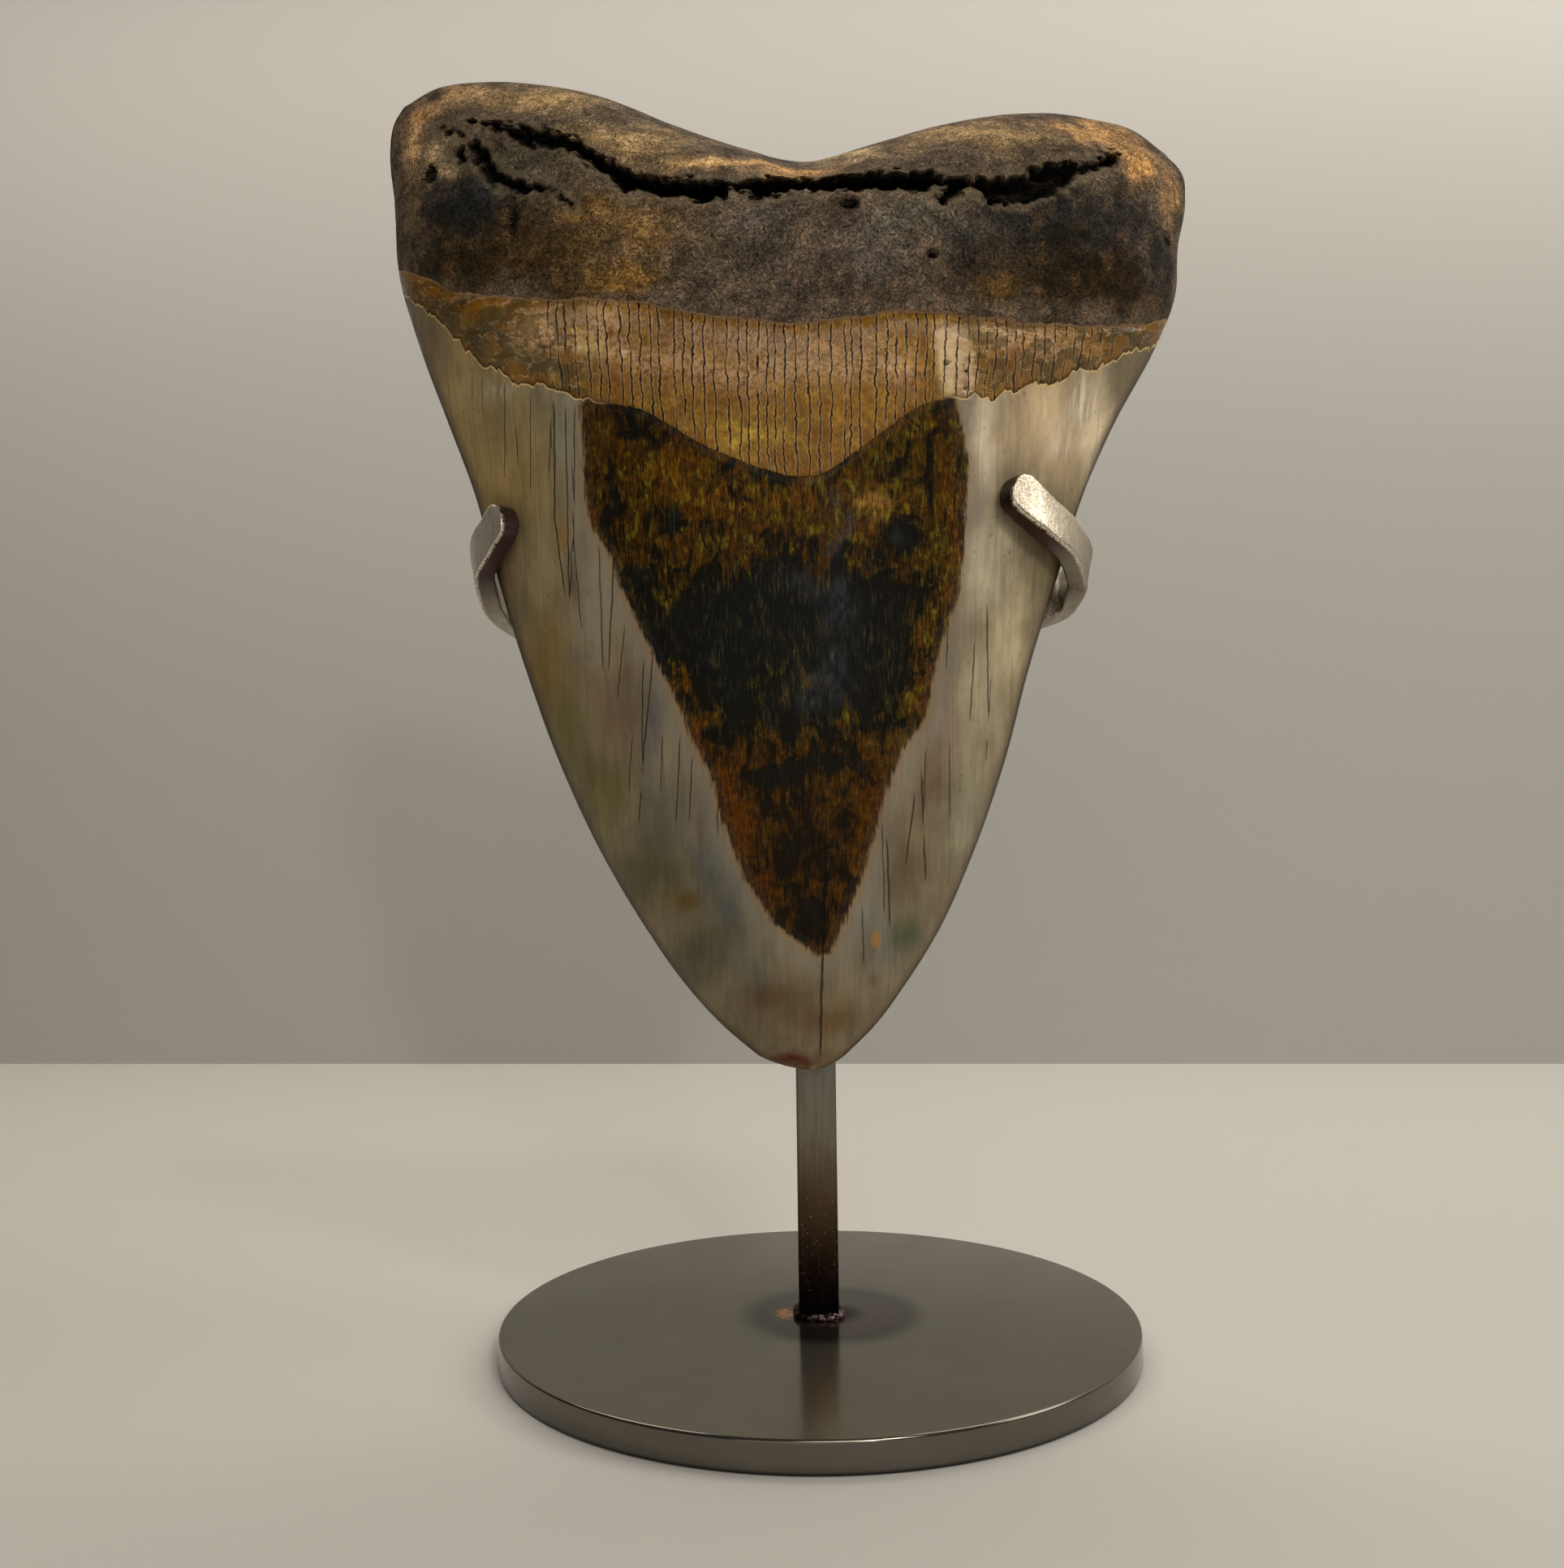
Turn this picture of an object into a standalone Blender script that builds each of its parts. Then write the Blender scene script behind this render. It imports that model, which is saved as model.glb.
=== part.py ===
"""Megalodon tooth held upright by two steel claws on a round base.

Every dimension is in millimetres, and MM turns it into Blender's metres. X runs to the
right across the tooth, Y away from the side that is shown, and Z up. The origin is the
middle of the underside of the base plate.
"""

import math

import bmesh
import bpy
import numpy as np

MM = 0.001
GAP = 0.3                       # clearance between pieces that touch

# ---------------------------------------------------------------- stand
PLATE_DIAMETER = 101.6          # 4 in disc
PLATE_THICKNESS = 4.76          # 3/16 in plate
PLATE_CHAMFER = 0.45
PLATE_SIDES = 112
POST_SIDE = 6.35                # 1/4 in square bar
POST_TOP = 98.5
POST_CHAMFER = 0.35
BEAD_RADIUS = 1.1               # weld round the foot of the post
BEAD_WAVINESS = 0.14
BEAD_POINTS = 40
ARM_WELD_RADIUS = 1.5           # weld between the arms and the top of the post
ARM_WELD_BOTTOM = 94.0

ARM_WIDTH = 6.35                # 1/4 x 1/8 in flat bar
ARM_THICKNESS = 3.175
ARM_CHAMFER = 0.35
ARM_TIP_RADIUS = 2.8            # the free end is ground round
ARM_Y = -(POST_SIDE / 2 + GAP + ARM_THICKNESS / 2)
ARM_ROOT = (2.0, ARM_Y, 97.0)
RINGS_PER_STRETCH = (3, 5, 5, 5, 5, 4)

# Each arm's middle line (x, y, z), with the roll of its flat side in degrees.
RIGHT_ARM = (
    (ARM_ROOT[0], ARM_ROOT[1], ARM_ROOT[2], 0),
    (33.5, ARM_Y, 116.5, 0),
    (40.3, -6.1, 119.5, 22),
    (42.0, -9.6, 122.4, 14),
    (39.6, -15.6, 126.0, -4),
    (34.1, -21.5, 129.4, -9),
    (29.1, -24.5, 133.2, -3),
)
LEFT_ARM = (
    (-ARM_ROOT[0], ARM_ROOT[1], ARM_ROOT[2], 0),
    (-39.0, ARM_Y, 114.4, 0),
    (-45.4, -5.6, 116.9, 10),
    (-49.8, -8.8, 120.2, 26),
    (-50.4, -13.5, 124.8, 5),
    (-47.6, -17.9, 128.2, -3),
    (-45.2, -20.3, 130.9, -8),
)

# ---------------------------------------------------------------- tooth
TOOTH_BACK = ARM_Y - ARM_THICKNESS / 2 - GAP
TOOTH_TIP = (-0.7, 45.5)

# Side edges of the tooth, (height, x), from the tip up to the corners of the root.
LEFT_EDGE = ((47.7, -9.0), (51.6, -13.6), (59.4, -20.6), (67.0, -25.8), (78.5, -32.5),
             (93.7, -39.4), (109.0, -44.7), (124.2, -49.1), (135.7, -52.0), (146.8, -55.9),
             (157.8, -59.7), (168.9, -62.5), (180.2, -63.1), (187.8, -63.7), (192.5, -63.0),
             (195.2, -61.5))
RIGHT_EDGE = ((47.6, 4.5), (51.3, 8.4), (58.9, 14.3), (66.4, 19.1), (77.7, 24.4),
              (92.8, 29.9), (108.0, 34.1), (123.0, 39.0), (134.4, 42.7), (145.5, 47.7),
              (156.4, 53.7), (163.6, 56.6), (171.1, 57.1), (178.4, 58.4), (183.2, 57.9),
              (186.2, 55.5))
# Lines across the tooth, (x, height): the top of the root, the groove of the neck under
# the root, and the upper edge of the enamel.
ROOT_TOP = ((-61.5, 195.2), (-57.0, 197.5), (-50.3, 198.3), (-44.0, 198.0), (-31.5, 195.4),
            (-19.0, 190.0), (-10.0, 186.3), (-0.2, 183.8), (8.0, 186.0), (18.8, 189.4),
            (31.4, 191.7), (38.0, 192.0), (44.0, 191.2), (50.6, 189.6), (55.5, 186.2))
NECK_LINE = ((-62.9, 169.5), (-52.0, 162.8), (-42.0, 160.2), (-28.6, 158.8), (-11.0, 155.6),
             (0.0, 154.8), (13.0, 156.4), (30.0, 155.7), (40.0, 156.2), (50.0, 158.0),
             (55.8, 160.3))
ENAMEL_LINE = ((-62.5, 166.5), (-54.5, 159.0), (-48.0, 152.5), (-40.0, 148.7), (-32.0, 146.0),
               (-26.0, 144.6), (-12.5, 137.4), (1.6, 134.6), (9.8, 139.9), (16.5, 144.3),
               (28.0, 146.2), (38.0, 149.6), (48.0, 153.8), (54.3, 157.0))

# Depth of the tooth by height: the cutting edge's Y, and how far the shown side stands
# forward of that edge in the middle of the tooth.
EDGE_Y = ((45.5, -8.6), (60.0, -9.0), (80.0, -9.4), (120.0, -10.2), (136.0, -10.8),
          (146.0, -11.6), (156.0, -13.0), (165.0, -13.9), (199.0, -14.2))
SWELL = ((45.5, 1.5), (52.0, 3.5), (60.0, 5.5), (80.0, 9.5), (100.0, 12.5), (120.0, 15.0),
         (136.0, 17.6), (146.0, 19.6), (156.0, 20.5), (173.0, 21.0), (181.0, 18.0),
         (190.0, 14.0), (199.0, 12.0))
ROOT_BEGINS = (146.0, 166.0)    # the crown's section turns into the root's between these
CROWN_SECTION = (2.0, 1.35)     # exponents of the cross-section, pointed at the edges
ROOT_SECTION = (2.6, 1.7)       # rounder at the edges
FRONT_CROWN = 16.0              # height over which the root's top rounds off, front
BACK_CROWN = 8.0                # the same at the back

ENAMEL_STEP = 0.8               # the enamel's broken upper edge stands proud by this
ENAMEL_LIP = 0.7                # height of that edge
NECK_DEPTH = 1.4                # groove between root and neck band
NECK_REACH = 3.0
BAND_SWELL = 1.2                # the neck band's rounded ridge

CROWN_ROWS = 22
BAND_ROWS = (0.2, 0.4, 0.6, 0.78, 0.9, 1.0)
ROOT_ROWS = (0.06, 0.14, 0.25, 0.4, 0.55, 0.68, 0.79, 0.88, 0.94, 0.98, 1.0)
HALF_COLUMNS = 16

# Cracks across the root, (x, height, half of the opening), and how deep they go.
LONG_CRACK = ((-50.2, 187.9, 0.3), (-41.9, 185.8, 0.6), (-34.5, 183.3, 0.8),
              (-28.9, 178.8, 1.2), (-23.6, 174.9, 2.5), (-16.6, 172.9, 1.6),
              (-7.5, 172.7, 1.5), (7.4, 174.3, 1.3), (20.0, 173.4, 1.2),
              (30.7, 174.8, 2.5), (36.9, 176.7, 1.7), (42.2, 179.8, 0.8), (48.7, 183.4, 0.3))
SHORT_CRACK = ((-56.3, 189.8, 0.3), (-52.0, 185.8, 0.9), (-48.6, 182.0, 1.9),
               (-45.2, 178.7, 2.1), (-40.8, 176.2, 1.2), (-37.5, 174.7, 0.4))
LONG_CRACK_DEPTH = 8.0
SHORT_CRACK_DEPTH = 5.0
CRACK_RISE = 0.22               # a crack climbs this much for each millimetre of depth
# Pores and pits, (x, height, diameter, depth).
PITS = ((5.8, 170.6, 1.9, 3.0), (17.6, 164.2, 1.2, 2.0), (-2.5, 163.9, 1.0, 2.0),
        (43.2, 154.5, 2.2, 1.6), (20.0, 149.1, 1.2, 1.5))


def smooth_through(points, at):
    """A smooth curve through (position, value) points, read at the given positions."""
    place = np.array([p[0] for p in points], float)
    value = np.array([p[1] for p in points], float)
    step = np.diff(place)
    rise = np.diff(value) / step
    slope = np.concatenate([rise[:1], np.zeros(len(points) - 2), rise[-1:]])
    slope[1:-1] = (rise[:-1] * step[1:] + rise[1:] * step[:-1]) / (step[:-1] + step[1:])
    at = np.clip(np.asarray(at, float), place[0], place[-1])
    i = np.clip(np.searchsorted(place, at, side="right") - 1, 0, len(points) - 2)
    t = (at - place[i]) / step[i]
    ease = t * t * (3 - 2 * t)
    leave = t * (1 - t) * (1 - t)
    arrive = t * t * (t - 1)
    return (value[i] * (1 - ease) + value[i + 1] * ease
            + step[i] * (slope[i] * leave + slope[i + 1] * arrive))


def material(name, colour, roughness, metallic=0.0):
    finish = bpy.data.materials.new(name)
    finish.use_nodes = True
    shader = finish.node_tree.nodes["Principled BSDF"]
    shader.inputs["Base Color"].default_value = (*colour, 1.0)
    shader.inputs["Roughness"].default_value = roughness
    shader.inputs["Metallic"].default_value = metallic
    finish.diffuse_color = (*colour, 1.0)
    return finish


def collection(name):
    group = bpy.data.collections.new(name)
    bpy.context.scene.collection.children.link(group)
    return group


def add_object(name, mesh, group, finish=None, smooth_angle=None):
    piece = bpy.data.objects.new(name, mesh)
    group.objects.link(piece)
    if finish:
        mesh.materials.append(finish)
    if smooth_angle:
        mesh.shade_smooth()
        mesh.set_sharp_from_angle(angle=math.radians(smooth_angle))
    return piece


def mesh_from(name, shape):
    """Turn a bmesh drawn in millimetres into a mesh in metres, facing outwards."""
    bmesh.ops.scale(shape, vec=(MM, MM, MM), verts=shape.verts)
    bmesh.ops.recalc_face_normals(shape, faces=shape.faces)
    mesh = bpy.data.meshes.new(name)
    shape.to_mesh(mesh)
    shape.free()
    return mesh


def loft(rings):
    """Skin a list of rings, each with the same number of points, into a closed shape."""
    shape = bmesh.new()
    skin = [[shape.verts.new(point) for point in ring] for ring in rings]
    count = len(skin[0])
    for lower, upper in zip(skin, skin[1:]):
        for i in range(count):
            j = (i + 1) % count
            shape.faces.new((lower[i], lower[j], upper[j], upper[i]))
    shape.faces.new(skin[0][::-1])
    shape.faces.new(skin[-1])
    return shape


# ---------------------------------------------------------------- form of the tooth
def left_edge(height):
    return edge(LEFT_EDGE, height)


def right_edge(height):
    return edge(RIGHT_EDGE, height)


def edge(points, height):
    """X of a side edge at a height; below its lowest point the tip is a parabola."""
    low_height, low_x = points[0]
    part = np.clip((height - TOOTH_TIP[1]) / (low_height - TOOTH_TIP[1]), 0, 1)
    tip = TOOTH_TIP[0] + (low_x - TOOTH_TIP[0]) * np.sqrt(part)
    return np.where(height < low_height, tip, smooth_through(points, height))


def section(x, z, crown, root):
    """Fullness of the cross-section: 1 in the middle, 0 on the side edges."""
    left, right = left_edge(z), right_edge(z)
    across = np.abs(x - (left + right) / 2) / np.maximum((right - left) / 2, 0.001)
    across = np.clip(across, 0, 1)
    turn = np.clip((z - ROOT_BEGINS[0]) / (ROOT_BEGINS[1] - ROOT_BEGINS[0]), 0, 1)
    turn = turn * turn * (3 - 2 * turn)
    power = crown[0] + (root[0] - crown[0]) * turn
    bluntness = crown[1] + (root[1] - crown[1]) * turn
    return (1 - across ** power) ** (1 / bluntness), 1 - across ** 6


def rounding(x, z, reach):
    """1 well below the top of the root, falling to 0 on it like a rounded edge."""
    below = np.clip((smooth_through(ROOT_TOP, x) - z) / reach, 0, 1)
    return np.sqrt(1 - (1 - below) ** 2.2)


def relief(x, z):
    """Low relief of the shown side: enamel step, swollen neck band and neck groove."""
    enamel = smooth_through(ENAMEL_LINE, x)
    neck = smooth_through(NECK_LINE, x)
    along_band = np.clip((z - enamel) / np.maximum(neck - enamel, 0.5), 0, 1)
    step = ENAMEL_STEP * np.clip((enamel - z) / ENAMEL_LIP, 0, 1)
    band = BAND_SWELL * np.sin(math.pi * along_band ** 1.5)
    groove = NECK_DEPTH * np.exp(-((z - neck) / NECK_REACH * 2) ** 2)
    return step + band - groove


def front_y(x, z):
    full, inner = section(x, z, CROWN_SECTION, ROOT_SECTION)
    edge_y = smooth_through(EDGE_Y, z)
    swell = smooth_through(SWELL, z) * full * rounding(x, z, FRONT_CROWN)
    return edge_y - swell - relief(x, z) * inner * rounding(x, z, FRONT_CROWN)


def back_y(x, z):
    full, inner = section(x, z, (3.0, 1.5), (6.0, 2.0))
    edge_y = smooth_through(EDGE_Y, z)
    return edge_y + (TOOTH_BACK - edge_y) * full * rounding(x, z, BACK_CROWN)


def tooth_rows():
    """Heights of the loft's rows as functions of x, from near the tip to the top."""
    rows = []

    def between(low, high, part, lift=0.0):
        rows.append(lambda x: low(x) + (high(x) - low(x)) * part + lift)

    def tip(x):
        return np.full_like(x, TOOTH_TIP[1])

    def enamel(x):
        return smooth_through(ENAMEL_LINE, x)

    def neck(x):
        return smooth_through(NECK_LINE, x)

    def top(x):
        return smooth_through(ROOT_TOP, x)

    for k in range(1, CROWN_ROWS):
        between(tip, enamel, (k / CROWN_ROWS) ** 1.6)
    between(enamel, enamel, 0, -ENAMEL_LIP)
    between(enamel, enamel, 0)
    for part in BAND_ROWS:
        between(enamel, neck, part)
    for part in ROOT_ROWS:
        between(neck, top, part)
    return rows


def row_end(row, side):
    """X where a row meets a side edge, found by stepping towards it."""
    x = np.array([0.0])
    for _ in range(80):
        x = side(row(x))
    return float(x[0])


def tooth_ring(row):
    """One closed section: along the row on the shown side and back behind it."""
    turns = np.linspace(-1, 1, 2 * HALF_COLUMNS + 1)
    spread = (turns + np.sin(turns * math.pi / 2)) / 2
    left, right = row_end(row, left_edge), row_end(row, right_edge)
    x = (left + right) / 2 + spread * (right - left) / 2
    z = row(x)
    front = [point for point in zip(x, front_y(x, z), z)]
    back = [point for point in zip(x, back_y(x, z), z)]
    return front + back[-2:0:-1]


def crack_cutter(name, points, depth, group):
    """A wedge that follows the crack, wide at the surface and thin inside."""
    rings = []
    for x, z, half in points:
        face = float(front_y(np.array([x]), np.array([z]))[0])
        reach = depth * min(1.0, 0.35 + half / 2)
        rise = CRACK_RISE * reach
        rings.append([
            (x, face - 4.0, z - 1.3 * half - 0.8),
            (x, face + reach, z + rise - 0.2 * half),
            (x, face + reach, z + rise + 0.4 * half),
            (x, face - 4.0, z + 1.3 * half),
        ])
    mesh = mesh_from(name, loft(rings))
    return hide_as_tool(add_object(name, mesh, group))


def pit_cutter(name, x, z, diameter, depth, group):
    face = float(front_y(np.array([x]), np.array([z]))[0])
    shape = bmesh.new()
    bmesh.ops.create_cone(shape, cap_ends=True, segments=9, radius1=diameter * 0.32,
                          radius2=diameter * 0.62, depth=2 * depth)
    mesh = mesh_from(name, shape)
    cutter = hide_as_tool(add_object(name, mesh, group))
    cutter.location = (x * MM, face * MM, z * MM)
    cutter.rotation_euler = (math.radians(90), 0, 0)
    return cutter


def hide_as_tool(cutter):
    cutter.hide_render = True
    cutter.display_type = "WIRE"
    return cutter


def build_tooth(group, tools):
    shape = loft([tooth_ring(row) for row in tooth_rows()])
    bmesh.ops.remove_doubles(shape, verts=shape.verts, dist=0.01)
    mesh = mesh_from("tooth", shape)
    tooth = add_object("tooth", mesh, group,
                       material("fossil_enamel_and_root", (0.33, 0.26, 0.17), 0.45), 50)
    cutters = [
        crack_cutter("long_crack_cutter", LONG_CRACK, LONG_CRACK_DEPTH, tools),
        crack_cutter("short_crack_cutter", SHORT_CRACK, SHORT_CRACK_DEPTH, tools),
    ]
    for number, (x, z, diameter, depth) in enumerate(PITS, 1):
        cutters.append(pit_cutter(f"pit_cutter_{number}", x, z, diameter, depth, tools))
    for cutter in cutters:
        cut = tooth.modifiers.new(cutter.name, "BOOLEAN")
        cut.operation = "DIFFERENCE"
        cut.solver = "EXACT"
        cut.object = cutter


# ---------------------------------------------------------------- stand
def build_plate(group, finish):
    shape = bmesh.new()
    bmesh.ops.create_cone(shape, cap_ends=True, segments=PLATE_SIDES,
                          radius1=PLATE_DIAMETER / 2, radius2=PLATE_DIAMETER / 2,
                          depth=PLATE_THICKNESS)
    bmesh.ops.translate(shape, vec=(0, 0, PLATE_THICKNESS / 2), verts=shape.verts)
    plate = add_object("base_plate", mesh_from("base_plate", shape), group, finish, 30)
    soften(plate, PLATE_CHAMFER)


def build_post(group, finish):
    foot = PLATE_THICKNESS + GAP
    shape = bmesh.new()
    bmesh.ops.create_cube(shape, size=1)
    bmesh.ops.scale(shape, vec=(POST_SIDE, POST_SIDE, POST_TOP - foot), verts=shape.verts)
    bmesh.ops.translate(shape, vec=(0, 0, (POST_TOP + foot) / 2), verts=shape.verts)
    post = add_object("post", mesh_from("post", shape), group, finish)
    soften(post, POST_CHAMFER)


def soften(piece, width):
    bevel = piece.modifiers.new("softened_edges", "BEVEL")
    bevel.width = width * MM
    bevel.segments = 2
    bevel.limit_method = "ANGLE"
    bevel.angle_limit = math.radians(40)


def bead_curve(name, points, radii, depth, closed, group, finish):
    """A weld bead: a round tube whose thickness varies along it."""
    curve = bpy.data.curves.new(name, "CURVE")
    curve.dimensions = "3D"
    curve.bevel_depth = depth * MM
    curve.bevel_resolution = 2
    curve.use_fill_caps = True
    spline = curve.splines.new("POLY")
    spline.points.add(len(points) - 1)
    for point, place, radius in zip(spline.points, points, radii):
        point.co = (place[0] * MM, place[1] * MM, place[2] * MM, 1)
        point.radius = radius
    spline.use_cyclic_u = closed
    curve.materials.append(finish)
    bead = bpy.data.objects.new(name, curve)
    group.objects.link(bead)
    return bead


def waviness(count):
    """Uneven thickness of a weld laid by hand."""
    steps = np.arange(count) / count * 2 * math.pi
    return 1 + BEAD_WAVINESS * (0.6 * np.sin(7 * steps) + 0.4 * np.sin(12 * steps + 1))


def build_foot_weld(group, finish):
    widest = BEAD_RADIUS * (1 + BEAD_WAVINESS)
    reach = POST_SIDE / 2 + GAP + widest
    height = PLATE_THICKNESS + GAP + widest
    points = []
    for k in range(BEAD_POINTS):
        angle = 2 * math.pi * k / BEAD_POINTS
        along = max(abs(math.cos(angle)), abs(math.sin(angle)))
        out = min(reach / along, reach * 1.22)
        points.append((out * math.cos(angle), out * math.sin(angle), height))
    bead_curve("foot_weld", points, waviness(BEAD_POINTS), BEAD_RADIUS, True, group, finish)


def build_arm_weld(group, finish):
    """A bead up one side of the post behind the arms, over its top and down again."""
    widest = ARM_WELD_RADIUS * (1 + BEAD_WAVINESS)
    side = POST_SIDE / 2 + GAP + widest
    back = -(POST_SIDE / 2) + widest
    crest = POST_TOP + GAP + widest
    corner = 1.6
    route = [(-side, back, ARM_WELD_BOTTOM), (-side, back, crest - corner)]
    for k in range(1, 4):
        angle = math.pi / 2 * k / 4
        route.append((-side + corner * (1 - math.cos(angle)), back,
                      crest - corner * (1 - math.sin(angle))))
    route.append((-side + corner, back, crest))
    route += [(-x, y, z) for x, y, z in route[::-1]]
    bead_curve("arm_weld", dense(route, 1.3), waviness(len(dense(route, 1.3))),
               ARM_WELD_RADIUS, False, group, finish)


def dense(route, spacing):
    """The same route with a point about every spacing millimetres."""
    points = []
    for start, end in zip(route, route[1:]):
        start, end = np.array(start), np.array(end)
        steps = max(1, round(float(np.linalg.norm(end - start)) / spacing))
        points += [start + (end - start) * k / steps for k in range(steps)]
    points.append(np.array(route[-1]))
    return points


def arm_frames(stations):
    """Points along an arm with the directions of its length, width and outer face."""
    stations = np.array(stations, float)
    travel = np.concatenate([[0], np.cumsum(np.linalg.norm(np.diff(stations[:, :3], axis=0),
                                                           axis=1))])
    samples = np.concatenate([
        np.linspace(travel[i], travel[i + 1], count, endpoint=False)
        for i, count in enumerate(RINGS_PER_STRETCH)])
    tip = travel[-1]
    rounded = ARM_TIP_RADIUS * np.array([1.0, 0.7, 0.45, 0.25, 0.1, 0.01])
    samples = np.concatenate([samples[samples < tip - ARM_TIP_RADIUS * 1.1], tip - rounded])

    def at(column, places):
        return smooth_through(list(zip(travel, stations[:, column])), places)

    centre = np.stack([at(k, samples) for k in range(3)], axis=1)
    ahead = np.stack([at(k, samples + 0.05) - at(k, samples - 0.05) for k in range(3)], axis=1)
    ahead /= np.linalg.norm(ahead, axis=1)[:, None]
    roll = np.radians(at(3, samples))
    upright = np.array([0.0, 0.0, 1.0]) - ahead[:, 2:3] * ahead
    upright /= np.linalg.norm(upright, axis=1)[:, None]
    hand = math.copysign(1.0, stations[-1, 0])
    outward = hand * np.cross(upright, ahead)
    width = np.cos(roll)[:, None] * upright + np.sin(roll)[:, None] * outward
    face = hand * np.cross(width, ahead)
    return centre, width, face, tip - samples


def build_arm(name, stations, group, finish):
    """A flat bar swept along its middle line, narrowing to its rounded end."""
    centre, width, face, left_over = arm_frames(stations)
    rings = []
    for middle, across, out, rest in zip(centre, width, face, left_over):
        part = min(1.0, rest / ARM_TIP_RADIUS)
        half = ARM_WIDTH / 2 * (1 - (1 - part) ** 2.4) ** (1 / 2.4)
        half = max(half, ARM_WIDTH * 0.12)
        thick = ARM_THICKNESS / 2
        cut = ARM_CHAMFER
        corners = [(half, thick - cut), (half - cut, thick), (cut - half, thick),
                   (-half, thick - cut), (-half, cut - thick), (cut - half, -thick),
                   (half - cut, -thick), (half, cut - thick)]
        rings.append([middle + a * across + b * out for a, b in corners])
    add_object(name, mesh_from(name, loft(rings)), group, finish, 40)


def main():
    for old in list(bpy.data.objects):
        bpy.data.objects.remove(old, do_unlink=True)
    group = collection("megalodon_tooth_on_stand")
    tools = collection("cutting_tools")
    build_tooth(group, tools)
    build_plate(group, material("satin_steel_plate", (0.20, 0.19, 0.18), 0.35, 1.0))
    build_post(group, material("dark_steel_bar", (0.13, 0.12, 0.11), 0.45, 1.0))
    build_foot_weld(group, material("foot_weld_metal", (0.24, 0.23, 0.21), 0.5, 1.0))
    build_arm_weld(group, material("arm_weld_metal", (0.22, 0.21, 0.20), 0.5, 1.0))
    build_arm("left_arm", LEFT_ARM, group,
              material("ground_steel_left", (0.30, 0.28, 0.26), 0.42, 1.0))
    build_arm("right_arm", RIGHT_ARM, group,
              material("ground_steel_right", (0.36, 0.34, 0.31), 0.38, 1.0))


main()
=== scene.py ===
# %% [markdown]
# # A megalodon tooth on its welded steel stand
# The big pieces are already built at their real size: the tooth, a round base plate, a square
# post, two bent arms that end in claws, and the weld beads that join them. This file gives each
# of them its fine form and its finish. Lengths are in millimetres, and `MM` makes them metres.
# X runs to the right across the tooth, Y away from the shown side and Z up.

# %% Load the pieces
import math

import bpy
import numpy as np
from mathutils import Matrix, Vector, noise


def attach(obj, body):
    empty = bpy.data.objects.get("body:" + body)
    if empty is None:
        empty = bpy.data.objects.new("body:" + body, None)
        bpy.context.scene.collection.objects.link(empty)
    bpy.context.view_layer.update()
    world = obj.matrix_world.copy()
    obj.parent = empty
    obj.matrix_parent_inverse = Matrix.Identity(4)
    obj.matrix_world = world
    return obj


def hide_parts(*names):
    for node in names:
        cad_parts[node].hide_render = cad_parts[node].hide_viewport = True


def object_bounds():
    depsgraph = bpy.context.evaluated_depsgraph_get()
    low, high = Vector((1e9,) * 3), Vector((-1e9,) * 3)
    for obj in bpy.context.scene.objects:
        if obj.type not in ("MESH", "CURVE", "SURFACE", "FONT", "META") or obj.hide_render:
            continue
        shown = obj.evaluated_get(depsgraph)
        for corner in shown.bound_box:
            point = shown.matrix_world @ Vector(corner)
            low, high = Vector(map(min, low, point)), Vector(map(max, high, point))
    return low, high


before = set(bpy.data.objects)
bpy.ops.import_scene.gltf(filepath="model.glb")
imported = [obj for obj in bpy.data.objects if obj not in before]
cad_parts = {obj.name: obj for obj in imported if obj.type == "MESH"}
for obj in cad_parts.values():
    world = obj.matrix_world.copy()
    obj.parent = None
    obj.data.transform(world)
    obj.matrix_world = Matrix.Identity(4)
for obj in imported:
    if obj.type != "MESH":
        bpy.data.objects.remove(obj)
cad_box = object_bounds()
bpy.ops.object.select_all(action="DESELECT")
MM = 0.001
print("pieces to dress:", ", ".join(sorted(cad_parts)))

# %% [markdown]
# ## The camera
# The tooth was seen from a little above its middle and from about a forearm's length away, with
# the camera tipped slightly up and leaning by less than a degree. The lens is a plain 36 mm one,
# and nothing is out of focus.

# %% Camera
CAMERA_PLACE = (-4.79, -253.5, 85.36)
CAMERA_PITCH = 1.09             # degrees upwards
CAMERA_ROLL = 0.77              # degrees to one side
CAMERA_LENS = 35.925
SENSOR = 36

bpy.ops.object.camera_add(location=[value * MM for value in CAMERA_PLACE])
camera = bpy.context.object
camera.name = "camera"
pitch = math.radians(CAMERA_PITCH)
turn = Vector((0, math.cos(pitch), math.sin(pitch))).to_track_quat("-Z", "Y").to_matrix()
lean = math.radians(-CAMERA_ROLL)
roll = Matrix(((math.cos(lean), -math.sin(lean), 0), (math.sin(lean), math.cos(lean), 0), (0, 0, 1)))
camera.rotation_euler = (turn @ roll).to_euler()
camera.data.lens = CAMERA_LENS
camera.data.sensor_width = SENSOR
camera.data.clip_start = 10 * MM
bpy.context.scene.camera = camera
print("camera turned by", [round(math.degrees(a), 2) for a in camera.rotation_euler])

# %% [markdown]
# ## Two helpers for shapes
# A tooth, a bent bar and a weld bead have one thing in common: each is a skin that runs once
# round and once along. Blender's grid is a flat sheet with just those two directions, so it is
# added as a primitive, its points are moved on to the form, and the edges that meet are merged.
# Extruding ring after ring by hand would reach the same skin with far more steps.

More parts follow.
